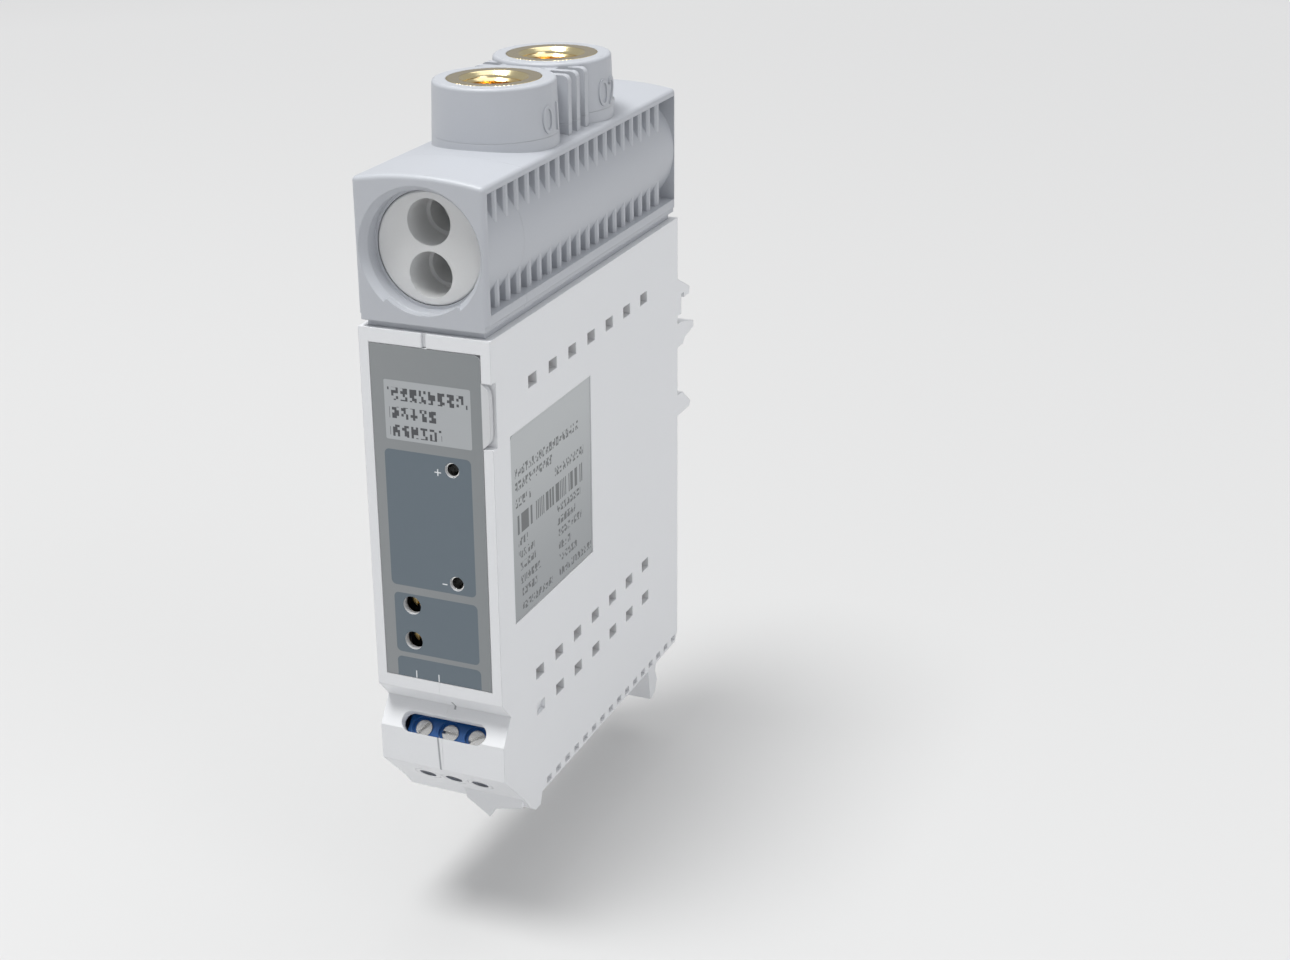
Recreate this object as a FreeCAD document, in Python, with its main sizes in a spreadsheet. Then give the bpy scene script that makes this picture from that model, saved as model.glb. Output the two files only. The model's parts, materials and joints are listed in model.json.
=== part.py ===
# Differential pressure transmitter that clips on from behind.
# Millimetres. X to the right as seen from the front, Y from the front to the back, Z up.
# The origin is the middle of the seat plane at the back, so every body is shifted by the depth.

import FreeCAD, Part
import math
import os
import re
import Sketcher

doc = FreeCAD.newDocument("differential_pressure_transmitter")
sheet = doc.addObject("Spreadsheet::Sheet", "Sizes")

# Driving sizes. Heights ending in _z are measured from the middle of the seat at the back.
sizes = {
    # housing
    "shell_width": 23.5,
    "shell_wall": 1.6,
    "front_wall": 2.8,
    "body_depth": 80.0,
    "seat_standoff": 2.0,
    "shell_top_z": 33.3,
    "shell_bottom_z": -54.7,
    "back_chamfer": 2.0,
    "waist_top_z": -30.7,
    "waist_z": -34.1,
    "waist_depth": 3.1,
    "sill_z": -38.6,
    "front_bottom_z": -45.2,
    "underside_depth": 7.4,
    "lip_start": 9.4,
    "lip_end": 13.8,
    "lip_drop": 2.2,
    "tongue_y": 7.4,
    "tongue_thickness": 1.4,
    "tongue_x": 4.9,
    "tongue_drop": 3.0,
    "seam_gap": 0.4,
    "seam_depth": 0.5,
    # vents in the sides of the housing
    "vent_length": 3.2,
    "vent_height": 2.1,
    "vent_pitch": 8.0,
    "vent_first_y": 15.0,
    "vent_upper_z": 22.3,
    "vent_lower_z": -31.0,
    "vent_lowest_z": -37.9,
    "vent_blind_depth": 0.8,
    "vent_count": 7,
    # row of notches along the bottom edge
    "notch_first_y": 17.6,
    "notch_pitch": 4.0,
    "notch_length": 2.0,
    "notch_height": 1.2,
    "notch_rise": 0.5,
    "notch_inset": 4.2,
    "notch_rim": 0.6,
    "notch_count": 16,
    # plates on the housing
    "panel_width": 19.8,
    "panel_height": 59.1,
    "panel_thickness": 1.2,
    "panel_top_drop": 2.5,
    "panel_clearance": 0.1,
    "panel_corner": 1.2,
    "tab_reach": 1.4,
    "tab_height": 11.1,
    "tab_top_drop": 7.1,
    "tab_slope": 2.4,
    "finger_notch_depth": 1.5,
    "opening_margin": 2.2,
    "side_label_length": 32.3,
    "side_label_height": 33.5,
    "side_label_front": 6.1,
    "side_label_top_z": 15.4,
    "side_label_thickness": 0.3,
    "side_label_corner": 1.4,
    # block
    "neck_gap": 1.2,
    "plinth_inset": 1.1,
    "neck_width": 15.0,
    "neck_inset": 6.0,
    "foot_width": 19.0,
    "foot_inset": 4.0,
    "foot_thickness": 3.0,
    "fit_gap": 0.1,
    "block_width": 23.0,
    "block_depth": 79.6,
    "block_height": 23.1,
    "crown_rise": 1.1,
    "rotor_height": 11.7,
    "boss_rise": 11.0,
    "boss_radius": 10.2,
    "boss_draft": 2.0,
    "port_front_y": 28.1,
    "port_spacing": 22.6,
    "web_width": 10.4,
    "web_drop": 0.7,
    "web_slot_left": 4.9,
    "web_slot_right": 3.6,
    "web_slot_length": 1.8,
    "web_slot_depth": 1.0,
    "web_fin_width": 19.2,
    "web_fin_thickness": 1.4,
    "web_fin_corner": 1.1,
    "web_fin_pitch": 3.4,
    "web_fin_lead": 7.9,
    "web_fin_count": 3,
    "passage_radius": 2.0,
    "block_edge": 0.8,
    "boss_edge": 0.55,
    # windows in the sides of the block, with fins beside the round tube of the bore
    "tube_radius": 11.42,
    "fin_inset": 1.03,
    "fin_edge": 0.35,
    "slot_root": 5.4,
    "slot_top_drop": 1.2,
    "slot_base_rise": 2.6,
    "slot_first_y": 2.95,
    "slot_pitch": 3.94,
    "slot_length": 2.55,
    "slot_count": 18,
    "collar_slots": 3,
    "slit_y": 1.25,
    "slit_length": 0.55,
    "end_wall": 0.75,
    "edge_step": 0.45,
    "edge_step_height": 1.0,
    # recess and bore of the valve
    "recess_radius": 9.9,
    "recess_mouth_radius": 10.8,
    "recess_bevel": 1.4,
    "recess_depth": 3.6,
    "stop_sector": 39.0,
    "rotor_radius": 9.3,
    "rotor_clearance": 0.08,
    "rotor_length": 62.0,
    "rotor_end_gap": 0.3,
    "rotor_edge": 0.25,
    "socket_radius": 3.8,
    "socket_offset": 4.27,
    "socket_depth": 6.5,
    "socket_inner_radius": 3.1,
    "socket_inner_depth": 4.5,
    "seal_section": 1.44,
    "seal_gap": 0.04,
    "groove_width": 2.0,
    "seal_first_y": 21.5,
    "seal_pitch": 17.9,
    "seal_count": 3,
    "gallery_width": 4.6,
    "gallery_depth": 1.0,
    "stop_pin_radius": 1.25,
    "stop_pin_y": 16.6,
    "stop_slot_depth": 1.5,
    "stop_slot_gap": 0.2,
    # brass port inserts
    "insert_radius": 7.9,
    "insert_length": 8.8,
    "insert_waist": 0.8,
    "insert_waist_length": 2.4,
    "thread_core_radius": 4.35,
    "thread_mouth_radius": 5.8,
    "thread_chamfer": 1.3,
    # pressure sensor under the block
    "sensor_width": 12.0,
    "sensor_offset": -1.0,
    "sensor_front_y": 22.0,
    "sensor_length": 35.0,
    "sensor_height": 14.0,
    "nipple_radius": 2.2,
    "nipple_height": 2.3,
    "nipple_bore": 1.0,
    "nipple_socket_radius": 3.7,
    "nipple_socket_depth": 2.6,
    "face_seal_section": 1.4,
    "strap_thickness": 1.2,
    "strap_ear": 6.4,
    "strap_screw_radius": 1.2,
    "strap_screw_head_radius": 2.2,
    "strap_screw_head": 1.4,
    "strap_screw_length": 3.4,
    "strap_screw_spread": 7.0,
    "strap_screw_lead": 3.8,
    "lead_radius": 0.3,
    "lead_pitch": 2.54,
    "lead_count": 4,
    "lead_y": 36.0,
    # circuit boards
    "board_thickness": 1.6,
    "board_x": 7.0,
    "board_front_y": 10.9,
    "board_back_y": 72.0,
    "board_top_z": 26.0,
    "board_bottom_z": -48.0,
    "board_step_y": 19.5,
    "board_step_z": -32.0,
    "board_screw_radius": 1.1,
    "board_screw_head_radius": 2.1,
    "board_screw_head": 1.3,
    "board_post_radius": 2.4,
    "board_post_inset": 5.0,
    "front_board_y": 9.0,
    "front_board_width": 15.6,
    "front_board_top_z": 24.0,
    "front_board_bottom_z": -31.0,
    "link_width": 2.0,
    "link_length": 30.0,
    "link_top_z": 8.0,
    # trimmers and test jacks
    "trimmer_x": -4.45,
    "trimmer_hole_radius": 1.65,
    "trimmer_upper_z": -14.8,
    "trimmer_spacing": 6.5,
    "trimmer_width": 4.8,
    "trimmer_height": 6.0,
    "trimmer_front_y": 3.6,
    "trimmer_screw_radius": 1.1,
    "trimmer_screw_front": 2.3,
    "trimmer_screw_seat": 2.6,
    "trimmer_slot_width": 0.45,
    "trimmer_slot_depth": 0.6,
    "turn_clearance": 0.06,
    "jack_x": 4.15,
    "jack_hole_radius": 1.3,
    "jack_upper_z": 10.7,
    "jack_spacing": 20.1,
    "jack_radius": 1.7,
    "jack_bore": 1.05,
    "jack_bore_depth": 6.0,
    "jack_front_y": 2.0,
    "jack_nose": 1.6,
    "jack_nose_radius": 1.26,
    "jack_tail_radius": 0.5,
    "jack_tail": 2.6,
    # screw terminal, in its own tilted frame at the middle screw's head
    "terminal_tilt": 45.0,
    "terminal_y": 3.1,
    "terminal_z": -39.7,
    "terminal_pitch": 5.08,
    "terminal_width": 15.4,
    "terminal_height": 10.0,
    "terminal_depth": 8.0,
    "terminal_chamfer": 2.2,
    "terminal_wall": 0.9,
    "terminal_well": 0.6,
    "terminal_well_radius": 2.0,
    "terminal_screw_radius": 1.5,
    "terminal_shank_radius": 1.0,
    "terminal_screw_head": 1.3,
    "terminal_screw_length": 5.8,
    "terminal_slot_width": 0.5,
    "terminal_slot_depth": 0.7,
    "clamp_width": 4.0,
    "clamp_depth": 4.6,
    "clamp_height": 5.0,
    "clamp_wall": 0.7,
    "clamp_travel": 1.6,
    "clamp_top": 2.9,
    "wire_drop": 7.0,
    "wire_radius": 1.1,
    "pin_radius": 0.5,
    "pin_length": 3.6,
    "terminal_board_back": 8.0,
    "window_reach": 8.05,
    "window_radius": 1.75,
    "window_start": 5.0,
    "window_depth": 5.0,
    "wire_nose": 1.1,
    "wire_nose_radius": 1.45,
    "wire_hole_radius": 1.5,
    "wire_hole_start": 8.0,
    "wire_hole_depth": 4.5,
    "guide_start": 1.2,
    "guide_end": 6.6,
    "guide_width": 18.6,
    "funnel_radius": 2.45,
    "funnel_start": 6.08,
    "funnel_depth": 0.9,
    "funnel_taper": 45.0,
    # latch at the back
    "latch_width": 12.0,
    "latch_wing": 1.0,
    "latch_wing_thickness": 1.2,
    "latch_thickness": 2.8,
    "latch_clearance": 0.15,
    "latch_top_z": -12.5,
    "latch_headroom": 4.6,
    "lower_flange_z": -17.5,
    "flange_thickness": 1.4,
    "latch_hook_reach": 4.0,
    "latch_hook_rise": 2.5,
    "tab_bottom_z": -69.6,
    "tab_back": 3.2,
    "tab_shoulder_z": -60.0,
    "latch_travel": 3.6,
    "spring_window_top_z": -34.0,
    "spring_peg_top_z": -44.8,
    "spring_peg_height": 1.2,
    "spring_window_width": 4.4,
    "spring_radius": 0.95,
    "spring_wire": 0.2,
    "spring_turns": 6,
    "spring_gap": 0.15,
    # hooks at the back edges
    "hook_width": 3.0,
    "hook_top_z": 21.3,
    "hook_reach": 6.4,
    "hook_tip_z": 16.8,
    "seat_pad_bottom_z": 13.9,
    "rib_top_z": 12.3,
    "rib_reach": 8.4,
    "bumper_top_z": -2.0,
    "bumper_reach": 7.0,
    "bumper_height": 4.4,
    # parts on the main board
    "capacitor_radius": 4.0,
    "capacitor_length": 11.0,
    "capacitor_y": 62.0,
    "capacitor_z": 4.0,
    "surge_y": 30.0,
    "surge_z": -36.0,
    "surge_size": 8.0,
    "surge_thickness": 3.2,
    "chip_y": 38.0,
    "chip_z": -2.0,
    "chip_length": 10.0,
    "chip_height": 7.5,
    "chip_thickness": 1.8,
    "regulator_y": 50.0,
    "regulator_z": -24.0,
    "regulator_width": 10.0,
    "regulator_height": 9.0,
    "regulator_thickness": 4.4,
}

for row, (name, value) in enumerate(sizes.items(), start=1):
    sheet.set("A%d" % row, name)
    sheet.set("B%d" % row, str(value))
    sheet.setAlias("B%d" % row, name)
doc.recompute()


def cells(text):
    """Put the sheet's name before each word that is one of its aliases."""
    def cell(match):
        word = match.group(0)
        return "Sizes." + word if word in sizes else word
    return re.sub(r"[A-Za-z_][A-Za-z_0-9]*", cell, text)


def bind(thing, prop, text):
    thing.setExpression(prop, cells(text))


def number(name):
    return float(sheet.get(name))


def value(text):
    return float(sheet.evalExpression(cells(text)))


# Places that several pieces share
half_shell = "(shell_width / 2)"
half_block = "(block_width / 2)"
inner_side = "(shell_width / 2 - shell_wall)"
block_base = "(shell_top_z + neck_gap)"
block_top = "(shell_top_z + neck_gap + block_height)"
rotor_z = "(shell_top_z + neck_gap + rotor_height)"
boss_top = "(shell_top_z + neck_gap + block_height + boss_rise)"
seat_level = "(shell_top_z + neck_gap + block_height + boss_rise - insert_length)"
collar_end = "(slot_first_y + 0.5 * slot_length + slot_pitch * (collar_slots - 0.5))"
foot_top = "(shell_top_z - shell_wall - fit_gap)"
foot_base = "(shell_top_z - shell_wall - fit_gap - foot_thickness)"
port_back = "(port_front_y + port_spacing)"
bore_radius = "(rotor_radius + rotor_clearance)"
bore_end = "(recess_depth + rotor_length + rotor_end_gap)"
panel_top = "(shell_top_z - panel_top_drop)"
panel_bottom = "(shell_top_z - panel_top_drop - panel_height)"
tab_top = "(shell_top_z - tab_top_drop)"
slide_depth = "(latch_thickness + latch_clearance)"
slide_front = "(body_depth - latch_thickness - latch_clearance)"
slide_top = "(latch_top_z + latch_clearance)"
latch_front = "(body_depth - latch_thickness)"
inner_back = "(body_depth - latch_thickness - latch_clearance - shell_wall)"
total_depth = "(body_depth + seat_standoff)"


# Sketch and feature helpers

def new_body(name, tilted=False):
    body = doc.addObject("PartDesign::Body", name)
    body.Label = name
    if tilted:
        body.Placement = FreeCAD.Placement(
            FreeCAD.Vector(0, 0, 0), FreeCAD.Rotation(FreeCAD.Vector(1, 0, 0), 45))
        bind(body, "Placement.Rotation.Angle", "terminal_tilt")
        bind(body, "Placement.Base.y", "terminal_y - " + total_depth)
        bind(body, "Placement.Base.z", "terminal_z")
    else:
        bind(body, "Placement.Base.y", "-" + total_depth)
    return body


def origin_plane(body, role):
    return [item for item in body.Origin.OriginFeatures if item.Role == role][0]


def new_sketch(body, role, along="0"):
    """A sketch on an origin plane, moved along the axis that the plane faces."""
    sketch = body.newObject("Sketcher::SketchObject", "Sketch")
    sketch.AttachmentSupport = (origin_plane(body, role), [""])
    sketch.MapMode = "FlatFace"
    sign = "-1 * " if role == "XZ_Plane" else ""
    bind(sketch, "AttachmentOffset.Base.z", sign + "(" + along + ")")
    return sketch


def tilted_sketch(body, y, z, angle):
    """A sketch whose normal leans back from +Z by the angle, about X."""
    sketch = body.newObject("Sketcher::SketchObject", "Sketch")
    sketch.AttachmentSupport = (origin_plane(body, "XY_Plane"), [""])
    sketch.MapMode = "FlatFace"
    sketch.AttachmentOffset = FreeCAD.Placement(
        FreeCAD.Vector(0, 0, 0), FreeCAD.Rotation(FreeCAD.Vector(1, 0, 0), 45))
    bind(sketch, "AttachmentOffset.Rotation.Angle", angle)
    bind(sketch, "AttachmentOffset.Base.y", y)
    bind(sketch, "AttachmentOffset.Base.z", z)
    return sketch


def axis_sketch(body, y, z):
    """A sketch in the YZ plane whose horizontal axis is the line through y and z along Y."""
    sketch = new_sketch(body, "YZ_Plane")
    bind(sketch, "AttachmentOffset.Base.x", y)
    bind(sketch, "AttachmentOffset.Base.y", z)
    return sketch


def add_rules(sketch, rules):
    first = sketch.ConstraintCount
    sketch.addConstraint([rule for rule, text in rules])
    for index, (rule, text) in enumerate(rules):
        if text:
            bind(sketch, "Constraints[%d]" % (first + index), text)


def point_rules(line, end, x, y):
    return [
        (Sketcher.Constraint("DistanceX", -1, 1, line, end, 1.0), x),
        (Sketcher.Constraint("DistanceY", -1, 1, line, end, 1.0), y),
    ]


def polygon(sketch, points):
    count = len(points)
    first = sketch.GeometryCount
    start = [FreeCAD.Vector(40 * math.cos(2 * math.pi * k / count), 40 * math.sin(2 * math.pi * k / count), 0)
             for k in range(count)]
    for k in range(count):
        sketch.addGeometry(Part.LineSegment(start[k], start[(k + 1) % count]), False)
    rules = []
    for k in range(count):
        rules.append((Sketcher.Constraint("Coincident", first + k, 2, first + (k + 1) % count, 1), None))
    for k, (x, y) in enumerate(points):
        rules += point_rules(first + k, 1, x, y)
    add_rules(sketch, rules)


def rectangle(sketch, left, right, low, high):
    polygon(sketch, [(left, low), (right, low), (right, high), (left, high)])


def loop(sketch, points):
    """A closed outline. A point with a third entry starts an arc of that radius, counter-clockwise."""
    count = len(points)
    first = sketch.GeometryCount
    place = [FreeCAD.Vector(value(point[0]), value(point[1]), 0) for point in points]
    rules = []
    for k, point in enumerate(points):
        start, end = place[k], place[(k + 1) % count]
        if len(point) == 2:
            sketch.addGeometry(Part.LineSegment(start, end), False)
            continue
        chord = end - start
        radius = value(point[2])
        height = math.sqrt(max(radius ** 2 - chord.Length ** 2 / 4, 0))
        side = FreeCAD.Vector(chord.y, -chord.x, 0).normalize()
        sketch.addGeometry(Part.Arc(start, (start + end) / 2 + side * (radius - height), end), False)
        rules.append((Sketcher.Constraint("Radius", first + k, radius), point[2]))
    for k, point in enumerate(points):
        rules.append((Sketcher.Constraint("Coincident", first + k, 2, first + (k + 1) % count, 1), None))
    for k, point in enumerate(points):
        rules += point_rules(first + k, 1, point[0], point[1])
    add_rules(sketch, rules)


def circle(sketch, x, y, radius):
    line = sketch.addGeometry(Part.Circle(FreeCAD.Vector(1, 1, 0), FreeCAD.Vector(0, 0, 1), 3), False)
    rules = point_rules(line, 3, x, y)
    rules.append((Sketcher.Constraint("Radius", line, 3.0), radius))
    add_rules(sketch, rules)


def solid(body, sketch, length, reverse=False, taper=None):
    pad = body.newObject("PartDesign::Pad", "Pad")
    pad.Profile = sketch
    bind(pad, "Length", length)
    pad.Reversed = reverse
    if taper:
        bind(pad, "TaperAngle", taper)
    body.Tip = pad
    return pad


def cut(body, sketch, length, reverse=False, taper=None):
    pocket = body.newObject("PartDesign::Pocket", "Pocket")
    pocket.Profile = sketch
    bind(pocket, "Length", length)
    pocket.Reversed = reverse
    if taper:
        bind(pocket, "TaperAngle", taper)
    body.Tip = pocket
    return pocket


def turned(body, sketch, axis, hollow=False):
    kind = "PartDesign::Groove" if hollow else "PartDesign::Revolution"
    feature = body.newObject(kind, "Turned")
    feature.Profile = sketch
    feature.ReferenceAxis = (sketch, [axis])
    feature.Angle = 360
    body.Tip = feature
    return feature


def repeat(body, features, role, pitch, count, reverse=False):
    pattern = body.newObject("PartDesign::LinearPattern", "Pattern")
    pattern.Originals = features
    pattern.Direction = (origin_plane(body, role), [""])
    pattern.Reversed = reverse
    bind(pattern, "Occurrences", count)
    bind(pattern, "Length", "(" + pitch + ") * (" + count + " - 1)")
    body.Tip = pattern
    return pattern


def rounded(body, base, chosen, radius):
    """Round those edges of the last feature that the chosen test accepts by their end points."""
    doc.recompute()
    names = []
    for index, edge in enumerate(base.Shape.Edges):
        if chosen(edge.BoundBox):
            names.append("Edge%d" % (index + 1))
    fillet = body.newObject("PartDesign::Fillet", "Fillet")
    fillet.Base = (base, names)
    bind(fillet, "Radius", radius)
    body.Tip = fillet
    return fillet


# Block: crowned bar with two port bosses, finned windows, the valve bore and the foot

def block_outline(body, along):
    sketch = new_sketch(body, "XZ_Plane", along)
    half = number("block_width") / 2
    low = number("shell_top_z") + number("neck_gap")
    high = low + number("block_height")
    crown = high + number("crown_rise")
    corner = [FreeCAD.Vector(-half, low, 0), FreeCAD.Vector(half, low, 0),
              FreeCAD.Vector(half, high, 0), FreeCAD.Vector(-half, high, 0)]
    sketch.addGeometry(Part.LineSegment(corner[0], corner[1]), False)
    sketch.addGeometry(Part.LineSegment(corner[1], corner[2]), False)
    sketch.addGeometry(Part.Arc(corner[2], FreeCAD.Vector(0, crown, 0), corner[3]), False)
    sketch.addGeometry(Part.LineSegment(corner[3], corner[0]), False)
    rules = [
        (Sketcher.Constraint("Coincident", 0, 2, 1, 1), None),
        (Sketcher.Constraint("Coincident", 1, 2, 2, 1), None),
        (Sketcher.Constraint("Coincident", 2, 2, 3, 1), None),
        (Sketcher.Constraint("Coincident", 3, 2, 0, 1), None),
    ]
    rules += point_rules(0, 1, "-" + half_block, block_base)
    rules += point_rules(0, 2, half_block, block_base)
    rules += point_rules(1, 2, half_block, block_top)
    rules += point_rules(3, 1, "-" + half_block, block_top)
    rules.append((Sketcher.Constraint("Radius", 2, 60.0),
                  "((block_width / 2)^2 + crown_rise^2) / (2 * crown_rise)"))
    add_rules(sketch, rules)
    return sketch


def fin_slots(body, start, end, edge=None):
    """One slot on each side, drawn from above, with its mouth widened by the edge if there is one."""
    sketch = new_sketch(body, "XY_Plane", block_top + " - slot_top_drop")
    for side in (-1, 1):
        root = "%d * slot_root" % side
        mouth = "%d * (block_width / 2 - fin_inset)" % side
        out = "%d * (block_width / 2)" % side
        if edge is None:
            rectangle(sketch, root, out, start, end)
            continue
        bend = "%d * (block_width / 2 - fin_inset - %s)" % (side, edge)
        polygon(sketch, [
            (root, start), (bend, start), (mouth, start + " - " + edge), (out, start + " - " + edge),
            (out, end + " + " + edge), (mouth, end + " + " + edge), (bend, end), (root, end),
        ])
    return cut(body, sketch, "block_height - slot_top_drop - slot_base_rise")


def sector(sketch, radius_in, radius_out, angle):
    """A ring sector about the lowest point of a circle on the rotor's axis."""
    half = math.radians(number("stop_sector"))
    axis = number("shell_top_z") + number("neck_gap") + number("rotor_height")
    inner = 10.0
    outer = 11.2

    def spot(radius, turn):
        return FreeCAD.Vector(radius * math.sin(turn), axis - radius * math.cos(turn), 0)

    sketch.addGeometry(Part.Arc(spot(inner, -half), spot(inner, 0), spot(inner, half)), False)
    sketch.addGeometry(Part.LineSegment(spot(inner, half), spot(outer, half)), False)
    sketch.addGeometry(Part.Arc(spot(outer, -half), spot(outer, 0), spot(outer, half)), False)
    sketch.addGeometry(Part.LineSegment(spot(outer, -half), spot(inner, -half)), False)
    rules = [
        (Sketcher.Constraint("Coincident", 0, 2, 1, 1), None),
        (Sketcher.Constraint("Coincident", 1, 2, 2, 2), None),
        (Sketcher.Constraint("Coincident", 2, 1, 3, 1), None),
        (Sketcher.Constraint("Coincident", 3, 2, 0, 1), None),
        (Sketcher.Constraint("Coincident", 0, 3, 2, 3), None),
        (Sketcher.Constraint("Radius", 0, inner), radius_in),
        (Sketcher.Constraint("Radius", 2, outer), radius_out),
    ]
    rules += point_rules(0, 3, "0 * block_width", rotor_z)
    rules.append((Sketcher.Constraint("DistanceX", -1, 1, 0, 2, 1.0), radius_in + " * sin(" + angle + ")"))
    rules.append((Sketcher.Constraint("DistanceX", -1, 1, 0, 1, 1.0), "-1 * " + radius_in + " * sin(" + angle + ")"))
    rules.append((Sketcher.Constraint("DistanceX", -1, 1, 1, 2, 1.0), radius_out + " * sin(" + angle + ")"))
    rules.append((Sketcher.Constraint("DistanceX", -1, 1, 3, 1, 1.0), "-1 * " + radius_out + " * sin(" + angle + ")"))
    add_rules(sketch, rules)


def bar_piece(name, start, end, end_face):
    """A length of the bar from start to end, with its edges rounded except at the joint with the other."""
    body = new_body(name)
    bar = solid(body, block_outline(body, start), "%s - %s" % (end, start), reverse=True)
    base = number("shell_top_z") + number("neck_gap")
    top = base + number("block_height")
    face = value(end_face)

    def outer_edge(box):
        if box.YLength < 0.01 and abs(box.YMin - face) > 0.01:
            return False
        level = box.ZMin > top - 0.01
        upright = box.ZMin < base + 0.01 and box.ZMax > top - 0.01 and box.XLength + box.YLength < 0.01
        return level or upright

    rounded(body, bar, outer_edge, "block_edge")

    # small step along the lower edges
    sketch = new_sketch(body, "XZ_Plane", start)
    for side in (-1, 1):
        rectangle(sketch, "%d * (block_width / 2 - edge_step)" % side, "%d * (block_width / 2 + 1)" % side,
                  block_base + " - 1", block_base + " + edge_step_height")
    cut(body, sketch, "%s - %s" % (end, start))
    return body


def underside(body, starts, ends):
    """Plinth, neck and foot that the housing closes round."""
    for level, width, height, start, end in (
            ("shell_top_z", "(block_width - 2 * plinth_inset)", "neck_gap", starts[0], ends[0]),
            (foot_top, "neck_width", "shell_wall + fit_gap", starts[1], ends[1]),
            (foot_base, "foot_width", "foot_thickness", starts[2], ends[2])):
        sketch = new_sketch(body, "XY_Plane", level)
        rectangle(sketch, "-%s / 2" % width, "%s / 2" % width, start, end)
        solid(body, sketch, height)


def side_windows(body, start, end):
    """The windows in the two sides, before their slots are cut."""
    sketch = new_sketch(body, "XZ_Plane", start)
    for side in (-1, 1):
        rectangle(sketch, "%d * (block_width / 2 - fin_inset)" % side, "%d * (block_width / 2 + 1)" % side,
                  block_base + " + slot_base_rise", block_top + " - slot_top_drop")
    cut(body, sketch, "%s - %s" % (end, start))


def bore_tube(body, start, end):
    """The round tube of the bore, which fills the middle of the windows again."""
    sketch = new_sketch(body, "XZ_Plane", start)
    circle(sketch, "0 * block_width", rotor_z, "tube_radius")
    solid(body, sketch, "%s - %s" % (end, start), reverse=True)


def block_collar():
    """Front of the block: a wall round the recess in which the valve's face shows, and the mouth of the bore."""
    body = bar_piece("block_collar", "0 * block_depth", collar_end, "0 * block_depth")
    underside(body, ("plinth_inset", "neck_inset", "foot_inset"), (collar_end, collar_end, collar_end))
    side_windows(body, "slit_y", collar_end)
    fin_slots(body, "slit_y", "slit_y + slit_length")
    first = fin_slots(body, "slot_first_y", "slot_first_y + slot_length", "fin_edge")
    repeat(body, [first], "XZ_Plane", "slot_pitch", "collar_slots", reverse=True)
    bore_tube(body, "slit_y", collar_end)
    sketch = new_sketch(body, "XZ_Plane", "recess_depth")
    circle(sketch, "0 * block_width", rotor_z, bore_radius)
    cut(body, sketch, collar_end + " - recess_depth")

    # recess, with the part of its bevel that is filled at the bottom
    sketch = axis_sketch(body, "0 * block_depth", rotor_z)
    polygon(sketch, [
        ("-1 * recess_bevel", "0 * recess_radius"),
        ("-1 * recess_bevel", "2 * recess_mouth_radius - recess_radius"),
        ("recess_bevel", "recess_radius"),
        ("recess_depth", "recess_radius"),
        ("recess_depth", "0 * recess_radius"),
    ])
    turned(body, sketch, "H_Axis", hollow=True)
    sketch = new_sketch(body, "XZ_Plane")
    sector(sketch, "(recess_radius + 0.1)", "(recess_mouth_radius + 0.4)", "stop_sector")
    solid(body, sketch, "recess_bevel", reverse=True)
    return body


def web_fins(body, low, high, corner=None):
    """The fins beside the web that joins the ports, from low to high, with their upper corners rounded or sharp."""
    sketch = new_sketch(body, "XZ_Plane", "port_front_y + web_fin_lead")
    side = "web_fin_width / 2"
    if corner is None:
        rectangle(sketch, "-" + side, side, low, high)
    else:
        loop(sketch, [
            ("-" + side, low),
            (side, low),
            (side, high + " - " + corner, corner),
            (side + " - " + corner, high),
            ("-" + side + " + " + corner, high, corner),
            ("-" + side, high + " - " + corner),
        ])
    fin = solid(body, sketch, "web_fin_thickness", reverse=True)
    repeat(body, [fin], "XZ_Plane", "web_fin_pitch", "web_fin_count", reverse=True)


def port_tower():
    """The round walls of the two ports, the web between them and its fins, above the seats of the inserts."""
    body = new_body("port_tower")
    sketch = new_sketch(body, "XY_Plane", boss_top + " - web_drop")
    rectangle(sketch, "-web_width / 2", "web_width / 2", "port_front_y", port_back)
    solid(body, sketch, "insert_length - web_drop", reverse=True)
    web_fins(body, seat_level, "(%s - web_drop)" % boss_top, "web_fin_corner")
    sketch = new_sketch(body, "XY_Plane", boss_top)
    rectangle(sketch, "-1 * web_slot_left", "web_slot_right",
              "port_front_y + port_spacing / 2 - web_slot_length / 2",
              "port_front_y + port_spacing / 2 + web_slot_length / 2")
    cut(body, sketch, "web_drop + web_slot_depth")
    for place in ("port_front_y", port_back):
        sketch = new_sketch(body, "XY_Plane", boss_top)
        circle(sketch, "0 * block_width", place, "boss_radius")
        walls = solid(body, sketch, "insert_length", reverse=True, taper="boss_draft")
    level = value(boss_top)
    rounded(body, walls, lambda box: box.ZMin > level - 0.01 and box.ZLength < 0.01 and box.XLength > 1, "boss_edge")
    sketch = new_sketch(body, "XY_Plane", boss_top)
    for place in ("port_front_y", port_back):
        circle(sketch, "0 * block_width", place, "insert_radius")
    cut(body, sketch, "insert_length")
    return body


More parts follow.
